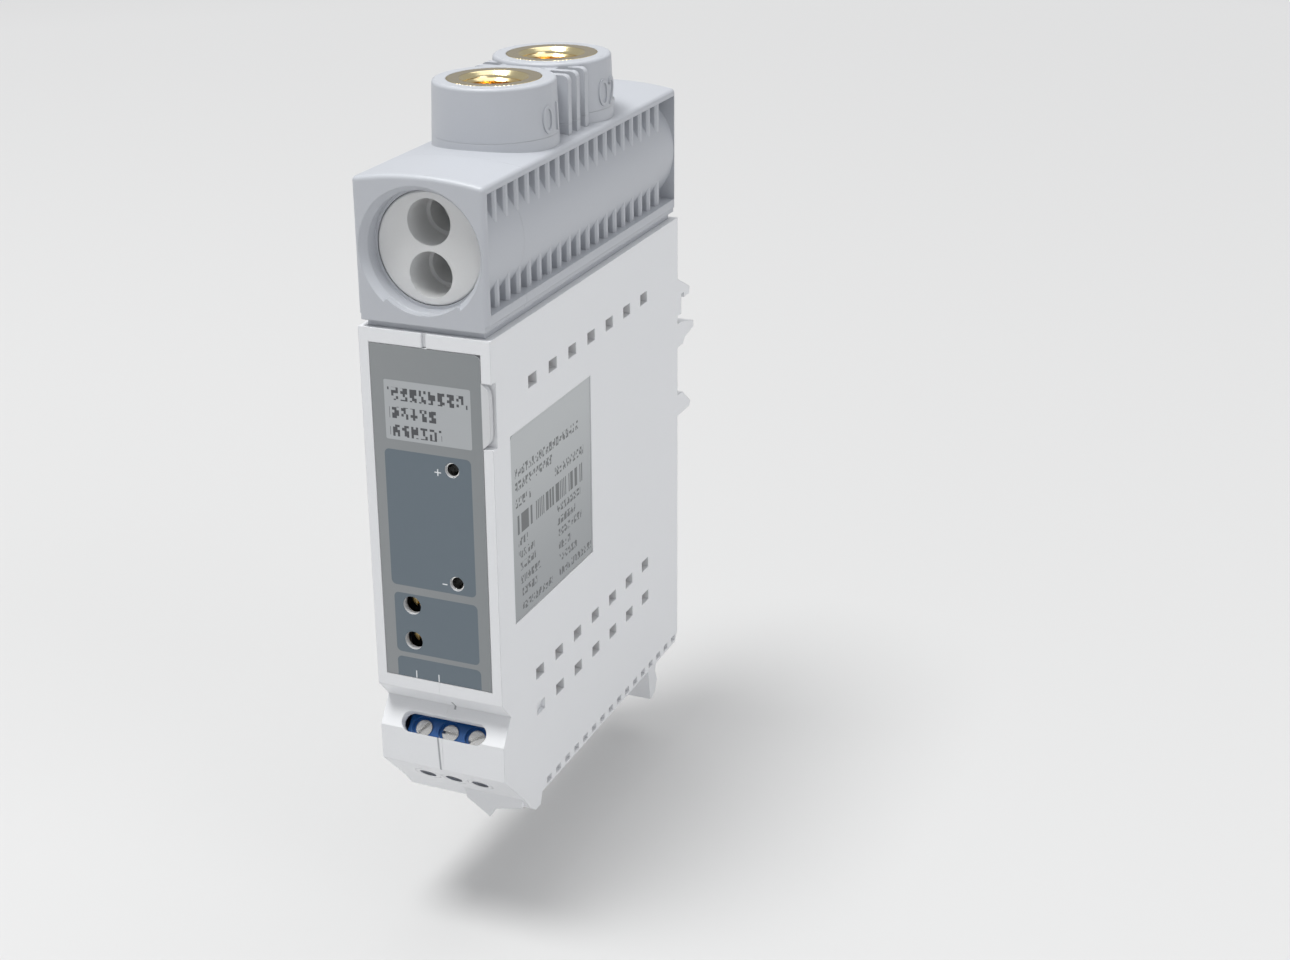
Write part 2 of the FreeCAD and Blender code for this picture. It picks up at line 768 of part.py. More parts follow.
def manifold_block():
    body = bar_piece("manifold_block", collar_end, "block_depth", "block_depth")

    underside(body, (collar_end, collar_end, collar_end),
              ("block_depth - plinth_inset", "block_depth - neck_inset", "block_depth - foot_inset"))

    # foot of the web and its fins, and the stubs under the ports
    sketch = new_sketch(body, "XY_Plane", seat_level)
    rectangle(sketch, "-web_width / 2", "web_width / 2", "port_front_y", port_back)
    solid(body, sketch, "boss_rise - insert_length + 0.5 * crown_rise", reverse=True)
    web_fins(body, block_top, seat_level)
    for place in ("port_front_y", port_back):
        sketch = new_sketch(body, "XY_Plane", seat_level)
        circle(sketch, "0 * block_width", place, "boss_radius + insert_length * tan(boss_draft)")
        solid(body, sketch, "boss_rise - insert_length + 0.5 * crown_rise", reverse=True, taper="boss_draft")

    # windows with their rows of slots, and the round tube of the bore
    side_windows(body, collar_end, "(block_depth - end_wall)")
    next_slot = "(slot_first_y + slot_pitch * collar_slots)"
    first = fin_slots(body, next_slot, next_slot + " + slot_length", "fin_edge")
    repeat(body, [first], "XZ_Plane", "slot_pitch", "(slot_count - collar_slots)", reverse=True)
    last_start = "(slot_first_y + slot_pitch * slot_count)"
    fin_slots(body, last_start, "block_depth - end_wall")
    bore_tube(body, collar_end, "(block_depth - end_wall)")
    sketch = new_sketch(body, "XZ_Plane", collar_end)
    circle(sketch, "0 * block_width", rotor_z, bore_radius)
    cut(body, sketch, "recess_depth + rotor_length + rotor_end_gap - " + collar_end)

    # passages from the ports down to the sensor
    sketch = new_sketch(body, "XY_Plane", seat_level)
    circle(sketch, "0 * block_width", "port_front_y", "passage_radius")
    circle(sketch, "0 * block_width", port_back, "passage_radius")
    cut(body, sketch, seat_level + " - " + foot_base)
    sketch = new_sketch(body, "XY_Plane", foot_base)
    circle(sketch, "0 * block_width", "port_front_y", "nipple_socket_radius")
    circle(sketch, "0 * block_width", port_back, "nipple_socket_radius")
    cut(body, sketch, "nipple_socket_depth", reverse=True)

    # holes for the stop pin and the strap screws
    sketch = new_sketch(body, "XY_Plane", foot_base)
    circle(sketch, "0 * block_width", "stop_pin_y", "stop_pin_radius")
    cut(body, sketch, rotor_z + " - " + foot_base, reverse=True)
    sketch = new_sketch(body, "XY_Plane", foot_base)
    for x, y in strap_screw_places:
        circle(sketch, x, y, "strap_screw_radius")
    cut(body, sketch, "strap_screw_length - strap_thickness", reverse=True)
    return body


strap_screw_places = [
    ("sensor_offset %s strap_screw_spread / 2" % sign, place)
    for sign in ("-", "+")
    for place in ("sensor_front_y - strap_screw_lead", "sensor_front_y + sensor_length + strap_screw_lead")
]


# Valve: spool with two tool sockets, seal grooves, galleries at the ports and a slot for the stop pin

def valve_rotor():
    body = new_body("valve_rotor")
    outer = "rotor_radius"
    groove = "(rotor_radius + rotor_clearance - seal_gap - seal_section - seal_gap)"
    gallery = "(rotor_radius - gallery_depth)"
    points = [("recess_depth", "0 * rotor_radius"), ("recess_depth", outer + " - rotor_edge"),
              ("recess_depth + rotor_edge", outer)]
    steps = [
        ("seal_first_y", "groove_width", groove),
        ("port_front_y", "gallery_width", gallery),
        ("seal_first_y + seal_pitch", "groove_width", groove),
        (port_back, "gallery_width", gallery),
        ("seal_first_y + 2 * seal_pitch", "groove_width", groove),
    ]
    for middle, width, radius in steps:
        start = "%s - %s / 2" % (middle, width)
        end = "%s + %s / 2" % (middle, width)
        points += [(start, outer), (start, radius), (end, radius), (end, outer)]
    back = "(recess_depth + rotor_length)"
    points += [(back + " - rotor_edge", outer), (back, outer + " - rotor_edge"), (back, "0 * rotor_radius")]
    sketch = axis_sketch(body, "0 * block_depth", rotor_z)
    polygon(sketch, points)
    turned(body, sketch, "H_Axis")
    for sign in ("+", "-"):
        for start, radius, depth in (
                ("recess_depth", "socket_radius", "socket_depth"),
                ("recess_depth + socket_depth", "socket_inner_radius", "socket_inner_depth")):
            sketch = new_sketch(body, "XZ_Plane", start)
            circle(sketch, "0 * block_width", "%s %s socket_offset" % (rotor_z, sign), radius)
            cut(body, sketch, depth)
    sketch = new_sketch(body, "XZ_Plane", "stop_pin_y - stop_pin_radius - stop_slot_gap")
    reach = "(rotor_radius - stop_slot_depth)"
    sector(sketch, reach, "(rotor_radius + 1)",
           "(stop_sector + 57.3 * (stop_pin_radius + stop_slot_gap) / (rotor_radius - stop_slot_depth))")
    cut(body, sketch, "2 * (stop_pin_radius + stop_slot_gap)")
    return body


def ring(name, y, z, along_y, inner, outer):
    """An O-ring: a round section turned about an axis along Y or Z."""
    body = new_body(name)
    if along_y:
        sketch = axis_sketch(body, y, z)
        circle(sketch, "0 * block_width", "(%s + %s) / 2" % (inner, outer), "(%s - %s) / 2" % (outer, inner))
        turned(body, sketch, "H_Axis")
    else:
        sketch = axis_sketch(body, y, z)
        circle(sketch, "(%s + %s) / 2" % (inner, outer), "0 * block_width", "(%s - %s) / 2" % (outer, inner))
        turned(body, sketch, "V_Axis")
    return body


def rotor_seals():
    outer = "(rotor_radius + rotor_clearance - seal_gap)"
    inner = "(rotor_radius + rotor_clearance - seal_gap - seal_section)"
    return [ring("rotor_seal_%d" % (k + 1), "seal_first_y + %d * seal_pitch" % k, rotor_z, True, inner, outer)
            for k in range(int(number("seal_count")))]


def rotor_stop_pin():
    body = new_body("rotor_stop_pin")
    sketch = new_sketch(body, "XY_Plane", foot_base)
    circle(sketch, "0 * block_width", "stop_pin_y", "stop_pin_radius")
    solid(body, sketch, "%s - rotor_radius + stop_slot_depth - stop_slot_gap - %s" % (rotor_z, foot_base))
    return body


def port_insert(name, y):
    body = new_body(name)
    sketch = axis_sketch(body, y, boss_top)
    base = "-1 * insert_length"
    polygon(sketch, [
        ("thread_mouth_radius", "0 * insert_length"),
        ("insert_radius", "0 * insert_length"),
        ("insert_radius", "-(insert_length - insert_waist_length) / 2"),
        ("insert_radius - insert_waist", "-(insert_length - insert_waist_length) / 2"),
        ("insert_radius - insert_waist", "-(insert_length + insert_waist_length) / 2"),
        ("insert_radius", "-(insert_length + insert_waist_length) / 2"),
        ("insert_radius", base),
        ("thread_core_radius", base),
        ("thread_core_radius", "-1 * thread_chamfer"),
    ])
    turned(body, sketch, "V_Axis")
    return body


# Pressure sensor, its seals, strap, screws and leads

def sensor_body():
    body = new_body("sensor_body")
    sketch = new_sketch(body, "XY_Plane", foot_base + " - sensor_height")
    rectangle(sketch, "sensor_offset - sensor_width / 2", "sensor_offset + sensor_width / 2",
              "sensor_front_y", "sensor_front_y + sensor_length")
    solid(body, sketch, "sensor_height")
    for place in ("port_front_y", port_back):
        sketch = new_sketch(body, "XY_Plane", foot_base)
        circle(sketch, "0 * block_width", place, "nipple_radius")
        solid(body, sketch, "nipple_height")
    sketch = new_sketch(body, "XY_Plane", foot_base + " + nipple_height")
    circle(sketch, "0 * block_width", "port_front_y", "nipple_bore")
    circle(sketch, "0 * block_width", port_back, "nipple_bore")
    cut(body, sketch, "nipple_height + sensor_height / 2")
    return body


def sensor_seals():
    inner = "(nipple_radius + seal_gap)"
    outer = "(nipple_radius + seal_gap + face_seal_section)"
    height = foot_base + " + face_seal_section / 2 + seal_gap"
    return [ring("sensor_seal_1", "port_front_y", height, False, inner, outer),
            ring("sensor_seal_2", port_back, height, False, inner, outer)]


def sensor_clamp():
    body = new_body("sensor_clamp")
    low = "(" + foot_base + " - sensor_height - strap_thickness)"
    front = "(sensor_front_y - strap_thickness)"
    back = "(sensor_front_y + sensor_length + strap_thickness)"
    sketch = new_sketch(body, "YZ_Plane", "sensor_offset - sensor_width / 2 + 1")
    polygon(sketch, [
        ("sensor_front_y - strap_ear", foot_base),
        ("sensor_front_y", foot_base),
        ("sensor_front_y", low + " + strap_thickness"),
        ("sensor_front_y + sensor_length", low + " + strap_thickness"),
        ("sensor_front_y + sensor_length", foot_base),
        ("sensor_front_y + sensor_length + strap_ear", foot_base),
        ("sensor_front_y + sensor_length + strap_ear", foot_base + " - strap_thickness"),
        (back, foot_base + " - strap_thickness"),
        (back, low),
        (front, low),
        (front, foot_base + " - strap_thickness"),
        ("sensor_front_y - strap_ear", foot_base + " - strap_thickness"),
    ])
    solid(body, sketch, "sensor_width - 2")
    sketch = new_sketch(body, "XY_Plane", foot_base)
    for x, y in strap_screw_places:
        circle(sketch, x, y, "strap_screw_radius")
    cut(body, sketch, "strap_thickness")
    return body


def screw_group(name, role, along, places, head_radius, head, shank_radius, shank, reverse):
    """Screws as separate solids of one node: heads on the near side of the plane, shanks beyond it."""
    body = doc.addObject("Part::Feature", name)
    direction = {"XY_Plane": FreeCAD.Vector(0, 0, 1), "YZ_Plane": FreeCAD.Vector(1, 0, 0)}[role]
    if reverse:
        direction = direction * -1
    shapes = []
    for x, y in places:
        if role == "XY_Plane":
            spot = FreeCAD.Vector(x, y, along)
        else:
            spot = FreeCAD.Vector(along, x, y)
        top = Part.makeCylinder(head_radius, head, spot, direction * -1)
        slot = 0.3 * head_radius
        box = Part.makeBox(slot, 3 * head_radius, head, FreeCAD.Vector(-slot / 2, -1.5 * head_radius, 0.5 * head))
        box.Placement = FreeCAD.Placement(
            spot, FreeCAD.Rotation(FreeCAD.Vector(0, 0, 1), direction * -1)).multiply(box.Placement)
        stem = Part.makeCylinder(shank_radius, shank, spot, direction)
        shapes.append(top.fuse(stem).cut(box).removeSplitter())
    body.Shape = Part.makeCompound(shapes)
    bind(body, "Placement.Base.y", "-" + total_depth)
    return body


def sensor_screws():
    middle = number("sensor_offset")
    spread = number("strap_screw_spread") / 2
    front = number("sensor_front_y") - number("strap_screw_lead")
    back = number("sensor_front_y") + number("sensor_length") + number("strap_screw_lead")
    seat = (number("shell_top_z") - number("shell_wall") - number("fit_gap") - number("foot_thickness")
            - number("strap_thickness"))
    places = [(middle + sign * spread, y) for sign in (-1, 1) for y in (front, back)]
    return screw_group("sensor_screws", "XY_Plane", seat, places, number("strap_screw_head_radius"),
                       number("strap_screw_head"), number("strap_screw_radius"),
                       number("strap_screw_length"), False)


def sensor_leads():
    body = new_body("sensor_leads")
    sketch = new_sketch(body, "YZ_Plane", "sensor_offset + sensor_width / 2")
    for k in range(int(number("lead_count"))):
        circle(sketch, "lead_y + %d * lead_pitch" % k, foot_base + " - sensor_height + 3", "lead_radius")
    solid(body, sketch, "board_x - sensor_offset - sensor_width / 2")
    return body


# Circuit boards and what they carry

post_places = [
    ("board_step_y + board_post_inset", "board_bottom_z + board_post_inset"),
    ("board_back_y - board_post_inset", "board_bottom_z + board_post_inset"),
    ("board_front_y + board_post_inset", "board_top_z - 2 * board_post_inset"),
    ("board_back_y - board_post_inset", "board_top_z - 2 * board_post_inset"),
]


def main_board():
    body = new_body("main_board")
    sketch = new_sketch(body, "YZ_Plane", "board_x")
    polygon(sketch, [
        ("board_front_y", "board_top_z"),
        ("board_back_y", "board_top_z"),
        ("board_back_y", "board_bottom_z"),
        ("board_step_y", "board_bottom_z"),
        ("board_step_y", "board_step_z"),
        ("board_front_y", "board_step_z"),
    ])
    solid(body, sketch, "board_thickness")
    sketch = new_sketch(body, "YZ_Plane", "board_x")
    for y, z in post_places:
        circle(sketch, y, z, "board_screw_radius")
    cut(body, sketch, "board_thickness", reverse=True)
    return body


def board_screws():
    step = number("board_step_y")
    front = number("board_front_y")
    back = number("board_back_y")
    top = number("board_top_z")
    bottom = number("board_bottom_z")
    inset = number("board_post_inset")
    places = [(step + inset, bottom + inset), (back - inset, bottom + inset),
              (front + inset, top - 2 * inset), (back - inset, top - 2 * inset)]
    return screw_group("board_screws", "YZ_Plane", number("board_x"), places, number("board_screw_head_radius"),
                       number("board_screw_head"), number("board_screw_radius"),
                       number("board_thickness") + 1.2, False)


def front_board():
    body = new_body("front_board")
    sketch = new_sketch(body, "XZ_Plane", "front_board_y")
    rectangle(sketch, "board_x - 0.2 - front_board_width", "board_x - 0.2",
              "front_board_bottom_z", "front_board_top_z")
    solid(body, sketch, "board_thickness", reverse=True)
    sketch = new_sketch(body, "XZ_Plane", "front_board_y")
    for drop in ("0", "jack_spacing"):
        circle(sketch, "jack_x", "jack_upper_z - " + drop, "jack_tail_radius")
    cut(body, sketch, "board_thickness")
    return body


def board_link():
    body = new_body("board_link")
    sketch = new_sketch(body, "XY_Plane", "link_top_z")
    rectangle(sketch, "board_x - link_width", "board_x", "front_board_y + board_thickness",
              "front_board_y + board_thickness + link_width")
    solid(body, sketch, "link_length", reverse=True)
    return body


def trimmer(name, z):
    body = new_body(name)
    sketch = new_sketch(body, "XZ_Plane", "trimmer_front_y")
    rectangle(sketch, "trimmer_x - trimmer_width / 2", "trimmer_x + trimmer_width / 2",
              z + " - trimmer_height / 2", z + " + trimmer_height / 2")
    solid(body, sketch, "front_board_y - trimmer_front_y", reverse=True)
    sketch = new_sketch(body, "XZ_Plane", "trimmer_front_y")
    circle(sketch, "trimmer_x", z, "trimmer_screw_radius + turn_clearance")
    cut(body, sketch, "trimmer_screw_front + trimmer_screw_seat - trimmer_front_y + turn_clearance")
    return body


def trimmer_screw(name, z):
    body = new_body(name)
    sketch = new_sketch(body, "XZ_Plane", "trimmer_screw_front")
    circle(sketch, "trimmer_x", z, "trimmer_screw_radius")
    solid(body, sketch, "trimmer_screw_seat", reverse=True)
    sketch = new_sketch(body, "XZ_Plane", "trimmer_screw_front")
    rectangle(sketch, "trimmer_x - trimmer_slot_width / 2", "trimmer_x + trimmer_slot_width / 2",
              z + " - 2 * trimmer_screw_radius", z + " + 2 * trimmer_screw_radius")
    cut(body, sketch, "trimmer_slot_depth")
    return body


def test_jack(name, z):
    body = new_body(name)
    sketch = new_sketch(body, "XZ_Plane", "jack_front_y")
    circle(sketch, "jack_x", z, "jack_radius")
    solid(body, sketch, "front_board_y - jack_front_y", reverse=True)
    sketch = new_sketch(body, "XZ_Plane", "jack_front_y - jack_nose")
    circle(sketch, "jack_x", z, "jack_nose_radius")
    solid(body, sketch, "jack_nose", reverse=True)
    sketch = new_sketch(body, "XZ_Plane", "front_board_y")
    circle(sketch, "jack_x", z, "jack_tail_radius")
    solid(body, sketch, "jack_tail", reverse=True)
    sketch = new_sketch(body, "XZ_Plane", "jack_front_y - jack_nose")
    circle(sketch, "jack_x", z, "jack_bore")
    cut(body, sketch, "jack_nose + jack_bore_depth")
    return body


def board_parts():
    capacitor = new_body("filter_capacitor")
    sketch = new_sketch(capacitor, "YZ_Plane", "board_x")
    circle(sketch, "capacitor_y", "capacitor_z", "capacitor_radius")
    solid(capacitor, sketch, "capacitor_length", reverse=True)

    surge = new_body("surge_capacitor")
    sketch = new_sketch(surge, "YZ_Plane", "board_x")
    rectangle(sketch, "surge_y", "surge_y + surge_thickness", "surge_z - surge_size / 2", "surge_z + surge_size / 2")
    solid(surge, sketch, "surge_size", reverse=True)

    chip = new_body("signal_chip")
    sketch = new_sketch(chip, "YZ_Plane", "board_x")
    rectangle(sketch, "chip_y - chip_length / 2", "chip_y + chip_length / 2",
              "chip_z - chip_height / 2", "chip_z + chip_height / 2")
    solid(chip, sketch, "chip_thickness", reverse=True)

    regulator = new_body("voltage_regulator")
    sketch = new_sketch(regulator, "YZ_Plane", "board_x")
    rectangle(sketch, "regulator_y", "regulator_y + regulator_width",
              "regulator_z", "regulator_z + regulator_height")
    solid(regulator, sketch, "regulator_thickness", reverse=True)
    sketch = new_sketch(regulator, "YZ_Plane", "board_x - regulator_thickness / 3")
    rectangle(sketch, "regulator_y", "regulator_y + regulator_width",
              "regulator_z + regulator_height", "regulator_z + 1.6 * regulator_height")
    solid(regulator, sketch, "regulator_thickness / 3")
    return [capacitor, surge, chip, regulator]


# Screw terminal: each body is drawn upright, with the screws along Z, and then tilted into place

def terminal_x(index):
    return "(%d * terminal_pitch)" % (index - 1)


def terminal_block():
    body = new_body("terminal_block", tilted=True)
    sketch = new_sketch(body, "YZ_Plane", "-terminal_width / 2")
    polygon(sketch, [
        ("-terminal_depth / 2 + terminal_chamfer + terminal_well", "terminal_well"),
        ("terminal_depth / 2", "terminal_well"),
        ("terminal_depth / 2", "-1 * terminal_height"),
        ("-terminal_depth / 2", "-1 * terminal_height"),
        ("-terminal_depth / 2", "-1 * terminal_chamfer"),
    ])
    solid(body, sketch, "terminal_width")
    for index in range(3):
        x = terminal_x(index)
        sketch = new_sketch(body, "XY_Plane", "terminal_well")
        circle(sketch, x, "0 * terminal_pitch", "terminal_well_radius")
        cut(body, sketch, "terminal_well")
        sketch = new_sketch(body, "XY_Plane")
        circle(sketch, x, "0 * terminal_pitch", "terminal_screw_radius + turn_clearance")
        cut(body, sketch, "terminal_screw_head + turn_clearance")
        sketch = new_sketch(body, "XY_Plane")
        circle(sketch, x, "0 * terminal_pitch", "terminal_shank_radius + turn_clearance")
        cut(body, sketch, "terminal_screw_length + 2 * turn_clearance")
        sketch = new_sketch(body, "XY_Plane", "-1 * (clamp_top - turn_clearance)")
        rectangle(sketch, x + " - clamp_width / 2 - 2 * turn_clearance", x + " + clamp_width / 2 + 2 * turn_clearance",
                  "-clamp_depth / 2 - 2 * turn_clearance", "clamp_depth / 2 + 2 * turn_clearance")
        cut(body, sketch, "terminal_height - clamp_top + turn_clearance - terminal_wall / 2")
        nose_end = "(-terminal_depth / 2 - wire_nose)"
        sketch = new_sketch(body, "XZ_Plane", nose_end)
        circle(sketch, x, "-1 * wire_drop", "wire_nose_radius")
        solid(body, sketch, "wire_nose + terminal_wall / 2", reverse=True)
        sketch = new_sketch(body, "XZ_Plane", nose_end)
        circle(sketch, x, "-1 * wire_drop", "wire_radius")
        cut(body, sketch, "wire_nose + terminal_depth - terminal_wall")
    return body


terminal_slot_turn = (55.0, 0.0, 35.0)


def terminal_screw(index):
    body = new_body("terminal_screw_%d" % (index + 1), tilted=True)
    x = terminal_x(index)
    sketch = new_sketch(body, "XY_Plane")
    circle(sketch, x, "0 * terminal_pitch", "terminal_screw_radius")
    solid(body, sketch, "terminal_screw_head", reverse=True)
    sketch = new_sketch(body, "XY_Plane", "-1 * terminal_screw_head")
    circle(sketch, x, "0 * terminal_pitch", "terminal_shank_radius")
    solid(body, sketch, "terminal_screw_length - terminal_screw_head", reverse=True)
    sketch = new_sketch(body, "XY_Plane")
    sketch.AttachmentOffset = FreeCAD.Placement(
        FreeCAD.Vector(0, 0, 0), FreeCAD.Rotation(FreeCAD.Vector(0, 0, 1), terminal_slot_turn[index]))
    bind(sketch, "AttachmentOffset.Base.x", x)
    rectangle(sketch, "-2 * terminal_screw_radius", "2 * terminal_screw_radius",
              "-terminal_slot_width / 2", "terminal_slot_width / 2")
    cut(body, sketch, "terminal_slot_depth")
    return body


def terminal_clamp(index):
    """A cage: its top plate carries the thread, and the wire goes through its window."""
    body = new_body("terminal_clamp_%d" % (index + 1), tilted=True)
    x = terminal_x(index)
    top = "-1 * (clamp_top + clamp_travel)"
    sketch = new_sketch(body, "XY_Plane", top)
    rectangle(sketch, x + " - clamp_width / 2", x + " + clamp_width / 2", "-clamp_depth / 2", "clamp_depth / 2")
    solid(body, sketch, "clamp_height", reverse=True)
    sketch = new_sketch(body, "XZ_Plane", "-clamp_depth")
    rectangle(sketch, x + " - clamp_width / 2 + clamp_wall", x + " + clamp_width / 2 - clamp_wall",
              top + " - clamp_height + clamp_wall", top + " - clamp_wall")
    cut(body, sketch, "2 * clamp_depth")
    sketch = new_sketch(body, "XY_Plane", top)
    circle(sketch, x, "0 * terminal_pitch", "terminal_shank_radius + turn_clearance")
    cut(body, sketch, "clamp_wall")
    return body


def terminal_pins():
    body = new_body("terminal_pins", tilted=True)
    sketch = new_sketch(body, "XY_Plane", "-1 * terminal_height")
    for index in range(3):
        circle(sketch, terminal_x(index), "terminal_depth / 4", "pin_radius")
    solid(body, sketch, "pin_length", reverse=True)
    return body


def terminal_board():
    body = new_body("terminal_board", tilted=True)
    sketch = new_sketch(body, "XY_Plane", "-1 * terminal_height")
    rectangle(sketch, "-terminal_width / 2 - terminal_wall", "terminal_width / 2 + terminal_wall",
              "-terminal_depth / 2", "terminal_board_back")
    for index in range(3):
        circle(sketch, terminal_x(index), "terminal_depth / 4", "pin_radius")
    solid(body, sketch, "board_thickness", reverse=True)
    return body


# Housing halves, parted in the plane X = 0

def outer_profile():
    return [
        ("0 * body_depth", "shell_top_z"),
        ("body_depth", "shell_top_z"),
        ("body_depth", "shell_bottom_z + back_chamfer"),
        ("body_depth - 0.7 * back_chamfer", "shell_bottom_z"),
        ("lip_end + 0.8", "shell_bottom_z"),
        ("lip_end", "shell_bottom_z - lip_drop"),
        ("lip_end - 2", "shell_bottom_z - lip_drop"),
        ("lip_start", "shell_bottom_z - 0.2 * lip_drop"),
        ("underside_depth", "front_bottom_z - underside_depth"),
        ("0 * body_depth", "front_bottom_z"),
        ("0 * body_depth", "sill_z"),
        ("waist_depth", "waist_z"),
        ("0 * body_depth", "waist_top_z"),
    ]


def inner_profile():
    return [
        ("front_wall", "shell_top_z - shell_wall"),
        ("body_depth - shell_wall", "shell_top_z - shell_wall"),
        ("body_depth - shell_wall", slide_top + " + latch_headroom"),
        (inner_back, slide_top + " + latch_headroom"),
        (inner_back, "shell_bottom_z + shell_wall"),
        ("front_bottom_z - shell_bottom_z + 0.414 * shell_wall", "shell_bottom_z + shell_wall"),
        ("shell_wall", "front_bottom_z + 0.414 * shell_wall"),
        ("shell_wall", "sill_z - 0.31 * shell_wall"),
        ("waist_depth + 1.3 * shell_wall", "waist_z"),
        ("front_wall", "waist_top_z + 0.4 * shell_wall"),
    ]


def guide_outline(sketch, margin):
    """Section of the slanted wall that the wire guide fills, grown by a margin to both sides of the wall."""
    outside = "(%s) * cos(terminal_tilt)" % margin
    inside = "(shell_wall + %s) * cos(terminal_tilt)" % margin
    points = []
    for place, shift in (("guide_start", "-" + outside), ("guide_end", "-" + outside),
                         ("guide_end", "+" + inside), ("guide_start", "+" + inside)):
        points.append(("%s %s" % (place, shift), "front_bottom_z - %s %s" % (place, shift)))
    polygon(sketch, points)


def wire_guide():
    """Plate in the slanted wall with the three wire holes, each with a shallow funnel."""
    body = new_body("wire_guide")
    sketch = new_sketch(body, "YZ_Plane", "-guide_width / 2")
    guide_outline(sketch, "0 * shell_wall")
    solid(body, sketch, "guide_width")
    axis_y = "(terminal_y + wire_drop * sin(terminal_tilt))"
    axis_z = "(terminal_z - wire_drop * cos(terminal_tilt))"
    for index in range(3):
        for radius, start, depth, taper in (
                ("funnel_radius", "funnel_start", "funnel_depth", "-1 * funnel_taper"),
                ("wire_hole_radius", "wire_hole_start", "wire_hole_depth", None)):
            sketch = tilted_sketch(body, "%s - %s * cos(terminal_tilt)" % (axis_y, start),
                                   "%s - %s * sin(terminal_tilt)" % (axis_z, start), "90 + terminal_tilt")
            circle(sketch, terminal_x(index), "0 * window_radius", radius)
            cut(body, sketch, depth, taper=taper)
    return body


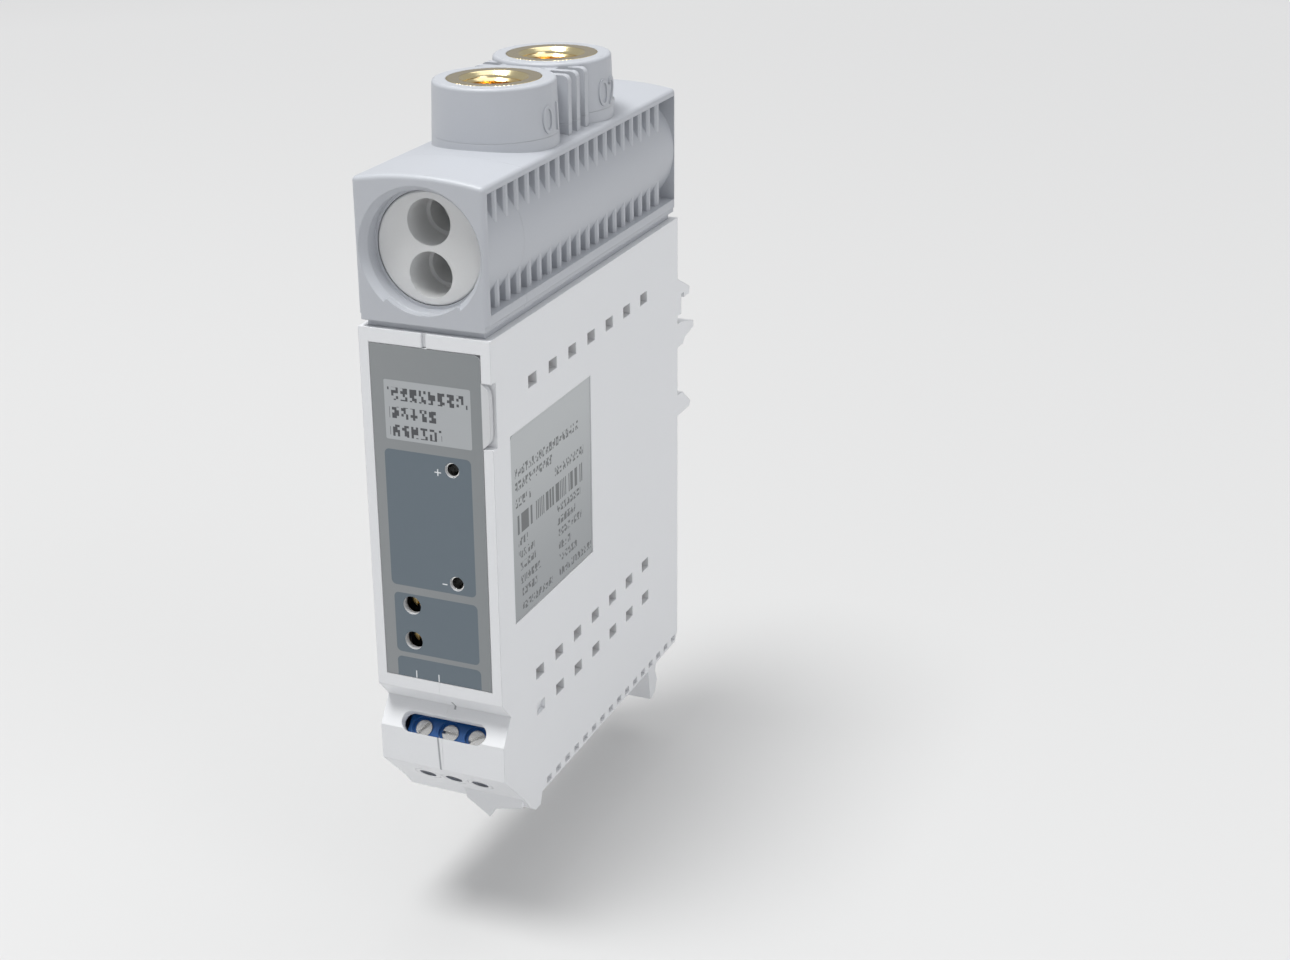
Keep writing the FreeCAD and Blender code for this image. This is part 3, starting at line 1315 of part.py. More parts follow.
def shell(name, side):
    right = side > 0
    body = new_body(name)

    def beside(text):
        return "%d * (%s)" % (side, text)

    sketch = new_sketch(body, "YZ_Plane")
    polygon(sketch, outer_profile())
    solid(body, sketch, half_shell, reverse=not right)
    sketch = new_sketch(body, "YZ_Plane")
    polygon(sketch, inner_profile())
    cut(body, sketch, inner_side, reverse=right)

    # upper hook with its seat, rib below it, bumper and lower seat
    sketch = new_sketch(body, "YZ_Plane", beside("shell_width / 2 - hook_width"))
    flange = "(body_depth + seat_standoff)"
    polygon(sketch, [
        ("body_depth - 1", "hook_top_z"),
        ("body_depth", "hook_top_z"),
        ("body_depth + hook_reach - 0.7", "hook_top_z - 2.8"),
        ("body_depth + hook_reach", "hook_tip_z + 1.2"),
        ("body_depth + hook_reach - 0.4", "hook_tip_z"),
        (flange + " + flange_thickness", "hook_tip_z"),
        (flange + " + flange_thickness", "-1 * lower_flange_z + 0.3"),
        (flange, "-1 * lower_flange_z + 0.3"),
        (flange, "seat_pad_bottom_z"),
        ("body_depth - 1", "seat_pad_bottom_z"),
    ])
    solid(body, sketch, "hook_width", reverse=not right)
    sketch = new_sketch(body, "YZ_Plane", beside("shell_width / 2 - hook_width"))
    polygon(sketch, [
        ("body_depth - 1", "rib_top_z"),
        ("body_depth + seat_standoff", "rib_top_z"),
        ("body_depth + rib_reach", "rib_top_z - 1.6"),
        ("body_depth + rib_reach + 0.1", "rib_top_z - 2.9"),
        ("body_depth + 0.45 * rib_reach", "rib_top_z - 3.7"),
        ("body_depth + 0.35 * rib_reach", "rib_top_z - 4.7"),
        ("body_depth - 1", "rib_top_z - 4.7"),
    ])
    solid(body, sketch, "hook_width", reverse=not right)
    sketch = new_sketch(body, "YZ_Plane", beside("shell_width / 2 - hook_width"))
    polygon(sketch, [
        ("body_depth - 1", "bumper_top_z"),
        ("body_depth + 0.4 * bumper_reach", "bumper_top_z - 0.3"),
        ("body_depth + bumper_reach", "bumper_top_z - 0.8 * bumper_height"),
        ("body_depth + 0.9 * bumper_reach", "bumper_top_z - bumper_height"),
        ("body_depth - 1", "bumper_top_z - bumper_height"),
    ])
    solid(body, sketch, "hook_width", reverse=not right)
    sketch = new_sketch(body, "YZ_Plane", beside("shell_width / 2 - hook_width"))
    rectangle(sketch, "body_depth - 1", flange, "lower_flange_z - 1.5", "lower_flange_z + 4")
    solid(body, sketch, "hook_width - 0.8", reverse=not right)

    # pointed tongue under the front and the posts of the main board, on the right half only
    if right:
        sketch = new_sketch(body, "XZ_Plane", "tongue_y")
        corner = "(front_bottom_z - underside_depth)"
        polygon(sketch, [
            ("seam_gap", corner + " + 0.6"),
            ("seam_gap", corner + " - 1.8"),
            ("tongue_x", corner + " - tongue_drop - 1.8"),
            ("tongue_x + 1", corner + " - tongue_drop"),
            (half_shell + " - 0.6", corner + " - 1.8"),
            (half_shell + " - 0.6", corner + " + 0.6"),
        ])
        solid(body, sketch, "tongue_thickness", reverse=True)
        sketch = new_sketch(body, "YZ_Plane", "board_x + board_thickness")
        for y, z in post_places:
            circle(sketch, y, z, "board_post_radius")
        solid(body, sketch, inner_side + " - board_x - board_thickness + shell_wall / 2")
        sketch = new_sketch(body, "YZ_Plane", "board_x + board_thickness")
        for y, z in post_places:
            circle(sketch, y, z, "board_screw_radius")
        cut(body, sketch, "1.2", reverse=True)

    # way through the top for the block's neck
    sketch = new_sketch(body, "XY_Plane", "shell_top_z")
    rectangle(sketch, beside("0 * shell_width"), beside("neck_width / 2 + fit_gap"),
              "neck_inset - fit_gap", "block_depth - neck_inset + fit_gap")
    cut(body, sketch, "shell_wall")

    # seat of the front panel, the opening behind it, the seam above it and the finger notch beside it
    sketch = new_sketch(body, "XZ_Plane")
    rectangle(sketch, beside("0 * shell_width"), beside("panel_width / 2 + panel_clearance"),
              panel_bottom + " - panel_clearance", panel_top + " + panel_clearance")
    cut(body, sketch, "panel_thickness")
    sketch = new_sketch(body, "XZ_Plane")
    rectangle(sketch, beside("0 * shell_width"), beside("seam_gap"), panel_top, "shell_top_z")
    cut(body, sketch, "seam_depth")
    if right:
        sketch = new_sketch(body, "XZ_Plane")
        rectangle(sketch, "panel_width / 2 - 1", "shell_width / 2 + 1", tab_top + " - tab_height", tab_top)
        cut(body, sketch, "finger_notch_depth")
    sketch = new_sketch(body, "XZ_Plane")
    rectangle(sketch, beside("0 * shell_width"), beside("panel_width / 2 - opening_margin"),
              panel_bottom + " + opening_margin", panel_top + " - opening_margin")
    cut(body, sketch, "front_wall")

    # window over the terminal screws, with a round end
    normal_y = "(terminal_y - window_start * sin(terminal_tilt))"
    normal_z = "(terminal_z + window_start * cos(terminal_tilt))"
    sketch = tilted_sketch(body, normal_y, normal_z, "terminal_tilt")
    rectangle(sketch, beside("0 * shell_width"), beside("window_reach - window_radius"),
              "-1 * window_radius", "window_radius")
    cut(body, sketch, "window_depth")
    sketch = tilted_sketch(body, normal_y, normal_z, "terminal_tilt")
    circle(sketch, beside("window_reach - window_radius"), "0 * window_radius", "window_radius")
    cut(body, sketch, "window_depth")

    # seat of the wire guide in the slanted wall
    sketch = new_sketch(body, "YZ_Plane")
    guide_outline(sketch, "shell_wall")
    cut(body, sketch, "guide_width / 2", reverse=right)

    # vents
    for height in ("vent_upper_z", "vent_lower_z", "vent_lowest_z"):
        blind = height == "vent_lowest_z"
        if blind:
            sketch = new_sketch(body, "YZ_Plane", beside("shell_width / 2"))
            rectangle(sketch, "vent_first_y - vent_length / 2", "vent_first_y + vent_length / 2",
                      height + " - vent_height / 2", height + " + vent_height / 2")
            cut(body, sketch, "vent_blind_depth", reverse=not right)
        start = "vent_first_y + vent_pitch" if blind else "vent_first_y"
        count = "(vent_count - 1)" if blind else "vent_count"
        sketch = new_sketch(body, "YZ_Plane", beside("shell_width / 2"))
        rectangle(sketch, start + " - vent_length / 2", start + " + vent_length / 2",
                  height + " - vent_height / 2", height + " + vent_height / 2")
        vent = cut(body, sketch, "shell_wall", reverse=not right)
        repeat(body, [vent], "XZ_Plane", "vent_pitch", count, reverse=True)

    # notches along the bottom edge, each with a slot through the floor
    sketch = new_sketch(body, "YZ_Plane", beside("shell_width / 2"))
    rectangle(sketch, "notch_first_y - notch_length / 2", "notch_first_y + notch_length / 2",
              "shell_bottom_z + notch_rise", "shell_bottom_z + notch_rise + notch_height")
    side_notch = cut(body, sketch, "shell_wall", reverse=not right)
    sketch = new_sketch(body, "XY_Plane", "shell_bottom_z")
    rectangle(sketch, beside("shell_width / 2 - notch_inset"), beside("shell_width / 2 - notch_rim"),
              "notch_first_y - notch_length / 2", "notch_first_y + notch_length / 2")
    floor_notch = cut(body, sketch, "notch_rise + notch_height", reverse=True)
    repeat(body, [side_notch, floor_notch], "XZ_Plane", "notch_pitch", "notch_count", reverse=True)

    # slideway for the latch, with side grooves for its wings and a peg for the spring
    sketch = new_sketch(body, "XZ_Plane", slide_front)
    rectangle(sketch, beside("0 * shell_width"), beside("latch_width / 2 + latch_clearance"),
              "shell_bottom_z - 1", slide_top)
    cut(body, sketch, "latch_thickness + 2 * latch_clearance")
    sketch = new_sketch(body, "XZ_Plane", slide_front)
    rectangle(sketch, beside("0 * shell_width"), beside("latch_width / 2 + latch_wing + latch_clearance"),
              "shell_bottom_z - 1", slide_top)
    cut(body, sketch, "latch_wing_thickness + 2 * latch_clearance")
    sketch = new_sketch(body, "XZ_Plane", slide_front)
    rectangle(sketch, beside("0 * shell_width"), beside("spring_window_width / 2 - latch_clearance"),
              "spring_peg_top_z - spring_peg_height", "spring_peg_top_z")
    solid(body, sketch, slide_depth, reverse=True)

    # shallow seat of the side label, on the right half only
    if right:
        sketch = new_sketch(body, "YZ_Plane", beside("shell_width / 2"))
        rectangle(sketch, "side_label_front", "side_label_front + side_label_length",
                  "side_label_top_z - side_label_height", "side_label_top_z")
        cut(body, sketch, "side_label_thickness")
    return body


def front_panel():
    body = new_body("front_panel")
    half = "(panel_width / 2)"
    reach = "(panel_width / 2 + tab_reach)"
    tab_low = "(shell_top_z - tab_top_drop - tab_height + panel_clearance)"
    tab_high = "(shell_top_z - tab_top_drop - panel_clearance)"
    bow = "((tab_reach^2 + tab_slope^2) / (2 * tab_reach))"
    sketch = new_sketch(body, "XZ_Plane")
    loop(sketch, [
        ("-" + half, panel_bottom),
        (half, panel_bottom),
        (half, tab_low, bow),
        (reach, tab_low + " + tab_slope"),
        (reach, tab_high + " - tab_slope", bow),
        (half, tab_high),
        (half, panel_top + " - panel_corner", "panel_corner"),
        (half + " - panel_corner", panel_top),
        ("-" + half, panel_top),
    ])
    solid(body, sketch, "panel_thickness", reverse=True)
    sketch = new_sketch(body, "XZ_Plane")
    for drop in ("0", "jack_spacing"):
        circle(sketch, "jack_x", "jack_upper_z - " + drop, "jack_hole_radius")
    for drop in ("0", "trimmer_spacing"):
        circle(sketch, "trimmer_x", "trimmer_upper_z - " + drop, "trimmer_hole_radius")
    cut(body, sketch, "panel_thickness")
    return body


def side_label():
    body = new_body("side_label")
    sketch = new_sketch(body, "YZ_Plane", "shell_width / 2 - side_label_thickness")
    low = "(side_label_top_z - side_label_height + fit_gap)"
    high = "(side_label_top_z - fit_gap)"
    front = "(side_label_front + fit_gap)"
    back = "(side_label_front + side_label_length - fit_gap)"
    loop(sketch, [
        (front, low), (back, low), (back, high),
        (front + " + side_label_corner", high, "side_label_corner"), (front, high + " - side_label_corner"),
    ])
    solid(body, sketch, "0.5 * side_label_thickness")
    return body


# Sliding latch and its spring

def foot_latch():
    body = new_body("foot_latch")
    flange = "(body_depth + seat_standoff)"
    back = "body_depth"
    sketch = new_sketch(body, "YZ_Plane", "-latch_width / 2")
    polygon(sketch, [
        (latch_front, "latch_top_z"),
        (back, "latch_top_z"),
        (back, "lower_flange_z - 0.3"),
        (flange + " + flange_thickness", "lower_flange_z - 0.3"),
        (flange + " + flange_thickness", "lower_flange_z + latch_hook_rise"),
        (flange + " + latch_hook_reach - 1", "lower_flange_z + latch_hook_rise"),
        (flange + " + latch_hook_reach", "lower_flange_z + latch_hook_rise - 1.5"),
        (flange + " + latch_hook_reach", "lower_flange_z - 2"),
        (flange + " + 0.6 * latch_hook_reach", "lower_flange_z - 5"),
        (back, "lower_flange_z - 7"),
        (back, "shell_bottom_z - 1"),
        (back + " + tab_back", "shell_bottom_z - 3.5"),
        (back + " + tab_back", "tab_shoulder_z - 1.8"),
        (back + " + tab_back - 1.1", "tab_shoulder_z - 4"),
        (back + " + tab_back", "tab_shoulder_z - 6.3"),
        (back + " + tab_back - 1.1", "tab_bottom_z + 1"),
        (back + " + tab_back - 2.8", "tab_bottom_z"),
        (back + " - 0.7", "tab_bottom_z + 0.3"),
        (back + " - 1.7", "tab_shoulder_z - 2"),
        (back + " - 1.7", "shell_bottom_z - 3"),
        (latch_front, "shell_bottom_z"),
    ])
    solid(body, sketch, "latch_width")
    sketch = new_sketch(body, "XZ_Plane", latch_front)
    rectangle(sketch, "-latch_width / 2 - latch_wing", "latch_width / 2 + latch_wing",
              "shell_bottom_z + 5", "latch_top_z - 1")
    solid(body, sketch, "latch_wing_thickness", reverse=True)
    sketch = new_sketch(body, "XZ_Plane", latch_front)
    rectangle(sketch, "-spring_window_width / 2", "spring_window_width / 2",
              "spring_peg_top_z - spring_peg_height - 0.05", "spring_window_top_z")
    cut(body, sketch, "latch_thickness + 1")
    return body


def latch_spring():
    """Round wire on a helix, standing on the peg and pushing up on the window's top edge."""
    spring = doc.addObject("Part::Feature", "latch_spring")
    spring.Label = "latch_spring"
    wire = number("spring_wire")
    gap = number("spring_gap")
    low = number("spring_peg_top_z") + wire + gap
    height = number("spring_window_top_z") - wire - gap - low
    radius = number("spring_radius")
    helix = Part.makeHelix(height / number("spring_turns"), height, radius)
    section = Part.Wire(Part.makeCircle(wire, FreeCAD.Vector(radius, 0, 0), FreeCAD.Vector(0, 1, 0)))
    spring.Shape = Part.Wire(helix).makePipeShell([section], True, True)
    bind(spring, "Placement.Base.y", "body_depth - latch_thickness / 2 - " + total_depth)
    bind(spring, "Placement.Base.z", "spring_peg_top_z + spring_wire + spring_gap")
    return spring


# Build

sub_parts = [manifold_block(), block_collar(), port_tower()]
sub_parts += [valve_rotor()]
sub_parts += rotor_seals()
sub_parts += [rotor_stop_pin(), port_insert("low_port_insert", "port_front_y"),
              port_insert("high_port_insert", port_back)]
sub_parts += [sensor_body(), sensor_clamp(), sensor_screws(), sensor_leads()]
sub_parts += sensor_seals()
sub_parts += [main_board(), board_screws(), front_board(), board_link()]
sub_parts += [trimmer("upper_trimmer", "trimmer_upper_z"),
              trimmer("lower_trimmer", "(trimmer_upper_z - trimmer_spacing)"),
              trimmer_screw("upper_trimmer_screw", "trimmer_upper_z"),
              trimmer_screw("lower_trimmer_screw", "(trimmer_upper_z - trimmer_spacing)"),
              test_jack("upper_test_jack", "jack_upper_z"),
              test_jack("lower_test_jack", "(jack_upper_z - jack_spacing)")]
sub_parts += board_parts()
sub_parts += [terminal_block(), terminal_pins(), terminal_board()]
sub_parts += [terminal_screw(index) for index in range(3)]
sub_parts += [terminal_clamp(index) for index in range(3)]
sub_parts += [shell("left_shell", -1), shell("right_shell", 1), wire_guide(), front_panel(), side_label()]
sub_parts += [foot_latch(), latch_spring()]

doc.recompute()

failed = [item.Name for item in doc.Objects if "Invalid" in item.State or "Error" in item.State]
if failed:
    raise RuntimeError("these objects failed: " + ", ".join(failed))

for part in sub_parts:
    if part.Shape.isNull() or not part.Shape.isValid():
        raise RuntimeError(part.Label + " has no valid shape")

os.makedirs("parts", exist_ok=True)
for part in sub_parts:
    part.Shape.exportStep("parts/" + part.Label + ".step")
    print(part.Label, len(part.Shape.Solids), round(part.Shape.Volume, 1))
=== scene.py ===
import json
import math

import bpy
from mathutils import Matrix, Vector


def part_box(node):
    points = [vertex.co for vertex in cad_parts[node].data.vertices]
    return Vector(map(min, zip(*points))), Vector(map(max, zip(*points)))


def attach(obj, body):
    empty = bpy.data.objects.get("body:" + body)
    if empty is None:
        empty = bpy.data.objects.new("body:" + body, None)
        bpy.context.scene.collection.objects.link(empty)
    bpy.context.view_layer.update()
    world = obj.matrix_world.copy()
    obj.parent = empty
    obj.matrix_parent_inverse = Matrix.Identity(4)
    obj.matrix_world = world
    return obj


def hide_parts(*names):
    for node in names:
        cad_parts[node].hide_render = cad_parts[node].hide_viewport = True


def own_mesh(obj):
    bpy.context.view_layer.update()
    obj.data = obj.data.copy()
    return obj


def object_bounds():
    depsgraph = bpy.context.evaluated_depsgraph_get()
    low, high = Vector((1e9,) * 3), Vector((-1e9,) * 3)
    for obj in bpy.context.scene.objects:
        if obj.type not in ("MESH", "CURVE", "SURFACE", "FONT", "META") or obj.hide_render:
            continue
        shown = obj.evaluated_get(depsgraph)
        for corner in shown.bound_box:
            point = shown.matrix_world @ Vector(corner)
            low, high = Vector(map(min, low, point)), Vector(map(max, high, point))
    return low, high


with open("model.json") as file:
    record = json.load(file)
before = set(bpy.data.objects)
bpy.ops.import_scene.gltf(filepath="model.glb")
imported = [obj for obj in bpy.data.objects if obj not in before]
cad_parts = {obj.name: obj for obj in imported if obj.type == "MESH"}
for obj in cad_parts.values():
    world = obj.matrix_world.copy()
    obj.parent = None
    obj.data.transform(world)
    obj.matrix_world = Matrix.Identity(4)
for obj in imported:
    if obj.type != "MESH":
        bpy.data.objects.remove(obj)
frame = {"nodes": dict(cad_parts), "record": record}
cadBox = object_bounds()
frontFace = cadBox[0][1]  # Y of the foremost point
mm = 0.001  # the scene is in metres


def addItem(name, data):  # puts a new object into the scene
    item = bpy.data.objects.new(name, data)
    bpy.context.scene.collection.objects.link(item)
    return item


# camera
cameraSet = {
    "place": (0.14982, -0.35574, 0.13350),
    "turn": 25.369,  # degrees to the right of straight ahead
    "dip": 21.945,  # degrees down
    "roll": -1.459,
    "focal": 2072.2,  # pixels
    "wide": 1290,  # pixels, width of the picture
    "axisFromLeft": 541.4,  # pixels
    "sensor": 36.0,  # mm
    "nearest": 0.01,
    "farthest": 20,
}


def makeCamera(s):
    data = bpy.data.cameras.new("photoCamera")
    camera = addItem("photoCamera", data)
    turn, dip, roll = (math.radians(s[k]) for k in ("turn", "dip", "roll"))
    ahead = Vector((-math.sin(turn) * math.cos(dip), math.cos(turn) * math.cos(dip), -math.sin(dip)))
    level = Vector((math.cos(turn), math.sin(turn), 0))
    over = level.cross(ahead)
    right = level * math.cos(roll) + over * math.sin(roll)
    up = right.cross(ahead)
    matrix = camera.matrix_world
    for row in range(3):
        matrix[row][0], matrix[row][1], matrix[row][2] = right[row], up[row], -ahead[row]
        matrix[row][3] = s["place"][row]
    camera.matrix_world = matrix
    data.sensor_width = s["sensor"]
    data.lens = s["focal"] * s["sensor"] / s["wide"]
    data.shift_x = (s["wide"] / 2 - s["axisFromLeft"]) / s["wide"]
    data.clip_start = s["nearest"]
    data.clip_end = s["farthest"]
    bpy.context.scene.camera = camera
    bpy.context.scene.view_settings.view_transform = "Standard"


makeCamera(cameraSet)
print("camera set")


# small helpers for node trees
def startFinish(name):
    finish = bpy.data.materials.new(name)
    finish.use_nodes = True
    tree = finish.node_tree
    return finish, tree, tree.nodes["Principled BSDF"]


def addNode(tree, kind, **values):
    node = tree.nodes.new(kind)
    for key, value in values.items():
        setattr(node, key, value)
    return node


def feed(tree, socket, value):
    if isinstance(value, bpy.types.NodeSocket):
        tree.links.new(value, socket)
    else:
        socket.default_value = value


def addMath(tree, what, *values, clamp=False):
    node = addNode(tree, "ShaderNodeMath", operation=what, use_clamp=clamp)
    for slot, value in enumerate(values):
        feed(tree, node.inputs[slot], value)
    return node.outputs[0]


def addRamp(tree, value, fromLow, fromHigh, toLow, toHigh, smooth=False):  # change between two values
    node = addNode(tree, "ShaderNodeMapRange", interpolation_type="SMOOTHSTEP" if smooth else "LINEAR")
    for slot, entry in enumerate((value, fromLow, fromHigh, toLow, toHigh)):
        feed(tree, node.inputs[slot], entry)
    return node.outputs[0]


def mixColours(tree, mask, first, second):
    mix = addNode(tree, "ShaderNodeMix", data_type="RGBA")
    for slot, value in ((0, mask), (6, first), (7, second)):
        feed(tree, mix.inputs[slot], value)
    return mix.outputs[2]


def addBetween(tree, value, low, high):  # 1 between two values, otherwise 0
    above = addMath(tree, "GREATER_THAN", value, low)
    return addMath(tree, "MULTIPLY", above, addMath(tree, "LESS_THAN", value, high))


def placeAxes(tree):  # X, Y and Z on the object
    split = addNode(tree, "ShaderNodeSeparateXYZ")
    tree.links.new(addNode(tree, "ShaderNodeTexCoord").outputs["Object"], split.inputs[0])
    return split.outputs["X"], split.outputs["Y"], split.outputs["Z"]


def shaded(colour, share):  # the same colour, darker
    return tuple(c * share for c in colour[:3]) + (1,)


# skin of moulded or cast pieces, with softened edges
grainSet = {
    "detail": 2.0,
    "strength": 1.0,
    "edgeSamples": 4,
}


def addGrain(tree, shader, size, height, radius=0.0):
    noise = addNode(tree, "ShaderNodeTexNoise")
    noise.inputs["Scale"].default_value = 1 / size
    noise.inputs["Detail"].default_value = grainSet["detail"]
    tree.links.new(addNode(tree, "ShaderNodeTexCoord").outputs["Object"], noise.inputs["Vector"])
    bump = addNode(tree, "ShaderNodeBump")
    bump.inputs["Distance"].default_value = height
    bump.inputs["Strength"].default_value = grainSet["strength"]
    tree.links.new(noise.outputs["Fac"], bump.inputs["Height"])
    if radius:
        bevel = addNode(tree, "ShaderNodeBevel", samples=grainSet["edgeSamples"])
        bevel.inputs["Radius"].default_value = radius
        tree.links.new(bevel.outputs["Normal"], bump.inputs["Normal"])
    tree.links.new(bump.outputs["Normal"], shader.inputs["Normal"])
    return noise.outputs["Fac"]


def addSideGap(tree, place, low, high, corner):  # how far a place lies past the straight part of a side
    away = addMath(tree, "ABSOLUTE", addMath(tree, "SUBTRACT", place, (low + high) / 2))
    return addMath(tree, "MAXIMUM", addMath(tree, "SUBTRACT", away, (high - low) / 2 - corner), 0.0)


def boxMask(tree, across, up, box, corner, edge):  # 1 inside a rounded rectangle, sizes in mm
    left, right, low, high = (v * mm for v in box)
    outX = addSideGap(tree, across, left, right, corner * mm)
    outZ = addSideGap(tree, up, low, high, corner * mm)
    squares = addMath(tree, "MULTIPLY_ADD", outX, outX, addMath(tree, "MULTIPLY", outZ, outZ))
    away = addMath(tree, "SUBTRACT", addMath(tree, "SQRT", squares), corner * mm)
    return addMath(tree, "MULTIPLY_ADD", away, -1 / (edge * mm), 0.5, clamp=True)


# small print: marks that can't be read
writingSet = {
    "bare": 0.42,  # share of the cells without ink
    "wordLength": 4.0,  # cells
}


def dashWriting(tree, across, up, row, cell):
    column = addMath(tree, "FLOOR", addMath(tree, "DIVIDE", across, cell * mm))
    line = addMath(tree, "FLOOR", addMath(tree, "DIVIDE", up, row * mm))
    noise = addNode(tree, "ShaderNodeTexWhiteNoise", noise_dimensions="2D")
    both = addNode(tree, "ShaderNodeCombineXYZ")
    tree.links.new(column, both.inputs[0])
    tree.links.new(line, both.inputs[1])
    tree.links.new(both.outputs[0], noise.inputs["Vector"])
    inked = addMath(tree, "GREATER_THAN", noise.outputs["Value"], writingSet["bare"])
    cellInWord = addMath(tree, "FLOORED_MODULO", column, writingSet["wordLength"])
    lettered = addMath(tree, "GREATER_THAN", cellInWord, 0.5)  # the first cell stays empty
    return addMath(tree, "MULTIPLY", inked, lettered)


# studio: floor, world and lamps
studioSet = {
    "floorDrop": 8.0 * mm,  # below the object's lowest point
    "floorSize": 6.0,  # metres
    "floorColour": (0.50, 0.50, 0.50, 1),
    "floorRoughness": 0.9,
    "floorShine": 0.1,
    "glowNear": 0.13,
    "glowFar": 0.30,  # evens out the pale floor far behind
    "glowReach": (0.00, 0.95),  # metres from the object
    "worldColour": (0.97, 0.98, 1.0, 1),
    "worldPower": 0.39,
    "lights": {  # place, aim, size, power in watts, colour
        "keyLight": ((-0.20, -0.36, 1.15), (0.0, -0.04, 0.0), 0.50, 11.4, (1.0, 1.0, 0.99)),
        "sideLight": ((1.1, -0.35, 0.55), (0.0, -0.04, 0.0), 0.9, 2.9, (0.98, 0.99, 1.0)),
        "farLight": ((0.0, 0.6, 3.0), (0.0, 0.3, 0.0), 3.5, 36.0, (1.0, 1.0, 1.0)),
    },
}


def makeStudio(s):
    low = cadBox[0][2] - s["floorDrop"]
    half = s["floorSize"] / 2
    mesh = bpy.data.meshes.new("floor")
    corners = [(x * half, y * half, low) for x, y in ((-1, -1), (1, -1), (1, 1), (-1, 1))]
    mesh.from_pydata(corners, [], [(0, 1, 2, 3)])
    paint, tree, shader = startFinish("floorPaint")
    shader.inputs["Base Color"].default_value = s["floorColour"]
    shader.inputs["Roughness"].default_value = s["floorRoughness"]
    shader.inputs["Specular IOR Level"].default_value = s["floorShine"]
    shader.inputs["Emission Color"].default_value = (1, 1, 1, 1)
    x, y = placeAxes(tree)[:2]
    squares = addMath(tree, "ADD", addMath(tree, "POWER", x, 2.0), addMath(tree, "POWER", y, 2.0))
    away = addMath(tree, "SQRT", squares)
    glow = addRamp(tree, away, *s["glowReach"], s["glowNear"], s["glowFar"])
    tree.links.new(glow, shader.inputs["Emission Strength"])
    mesh.materials.append(paint)
    addItem("floor", mesh)
    world = bpy.data.worlds.new("studioWorld")
    world.use_nodes = True
    back = world.node_tree.nodes["Background"]
    back.inputs["Color"].default_value = s["worldColour"]
    back.inputs["Strength"].default_value = s["worldPower"]
    bpy.context.scene.world = world
    for name, (place, aim, size, power, colour) in s["lights"].items():
        lamp = bpy.data.lights.new(name, "AREA")
        lamp.shape = "DISK"
        lamp.size = size
        lamp.energy = power
        lamp.color = colour
        item = addItem(name, lamp)
        item.location = place
        item.rotation_euler = (Vector(aim) - Vector(place)).to_track_quat("-Z", "Y").to_euler()


makeStudio(studioSet)
print("studio set")


# plain plastics and rubber
plasticSet = {  # colour, roughness, grain size, grain height, edge softness
    "blockPlastic": ((0.490, 0.508, 0.545, 1), 0.42, 0.25 * mm, 0.010 * mm, 0.25 * mm),
    "rotorPlastic": ((0.740, 0.745, 0.745, 1), 0.40, 0.30 * mm, 0.006 * mm, 0.20 * mm),
    "terminalPlastic": ((0.010, 0.090, 0.300, 1), 0.30, 0.30 * mm, 0.004 * mm, 0.12 * mm),
    "trimmerPlastic": ((0.018, 0.018, 0.020, 1), 0.35, 0.30 * mm, 0.004 * mm, 0.10 * mm),
    "blackPlastic": ((0.020, 0.020, 0.022, 1), 0.45, 0.25 * mm, 0.006 * mm, 0.08 * mm),
    "sensorPlastic": ((0.620, 0.600, 0.520, 1), 0.45, 0.30 * mm, 0.006 * mm, 0.20 * mm),
    "surgeCoat": ((0.520, 0.290, 0.040, 1), 0.25, 0.60 * mm, 0.010 * mm, 0.30 * mm),
    "sealRubber": ((0.012, 0.012, 0.012, 1), 0.60, 0.15 * mm, 0.006 * mm, 0.0),
}
plasticShade = 0.965  # darkest part of the grain, as a share of the colour


def makePlastic(name, s):
    colour, roughness, size, height, radius = s
    finish, tree, shader = startFinish(name)
    shader.inputs["Roughness"].default_value = roughness
    grain = addGrain(tree, shader, size, height, radius)
    mixed = mixColours(tree, grain, shaded(colour, plasticShade), colour)
    tree.links.new(mixed, shader.inputs["Base Color"])
    return finish


# metals
metalSet = {  # colour, roughness, grain size, grain height
    "brassMetal": ((0.880, 0.640, 0.270, 1), 0.20, 0.30 * mm, 0.004 * mm),
    "steelMetal": ((0.860, 0.855, 0.840, 1), 0.22, 0.25 * mm, 0.004 * mm),
    "tinMetal": ((0.820, 0.820, 0.810, 1), 0.24, 0.25 * mm, 0.003 * mm),
    "canMetal": ((0.780, 0.790, 0.800, 1), 0.35, 0.25 * mm, 0.003 * mm),
}
metalShade = 0.88
metalSpread = 0.12  # of the roughness, over the grain
metalEdge = 0.08 * mm  # edge softness


def makeMetal(name, s):
    colour, roughness, size, height = s
    finish, tree, shader = startFinish(name)
    shader.inputs["Metallic"].default_value = 1.0
    grain = addGrain(tree, shader, size, height, metalEdge)
    mixed = mixColours(tree, grain, shaded(colour, metalShade), colour)
    tree.links.new(mixed, shader.inputs["Base Color"])
    rough = addMath(tree, "MULTIPLY_ADD", grain, metalSpread, roughness - metalSpread / 2)
    tree.links.new(rough, shader.inputs["Roughness"])
    return finish


finishes = {name: makePlastic(name, s) for name, s in plasticSet.items()}
finishes.update({name: makeMetal(name, s) for name, s in metalSet.items()})


# housing plastic, with the fine line where the halves meet on the front
shellSet = {
    "colour": (0.800, 0.810, 0.830, 1),
    "shade": 0.97,  # darkest part of the grain
    "seamColour": (0.330, 0.340, 0.360, 1),
    "roughness": 0.38,
    "grainSize": 0.30 * mm,
    "grainHeight": 0.006 * mm,
    "edge": 0.22 * mm,  # softness
    "seamWidth": 0.34 * mm,
    "seamFade": (0.25, 0.75),  # shares of the width between which the line fades
    "frontDepth": 3.2 * mm,  # how far behind the front face the line may show
    "seam": [  # height low and high, place across low and high, in mm
        (-34.6, -32.8, 1.30, 1.20),
        (-45.4, -38.2, -0.45, -0.85),
    ],
}


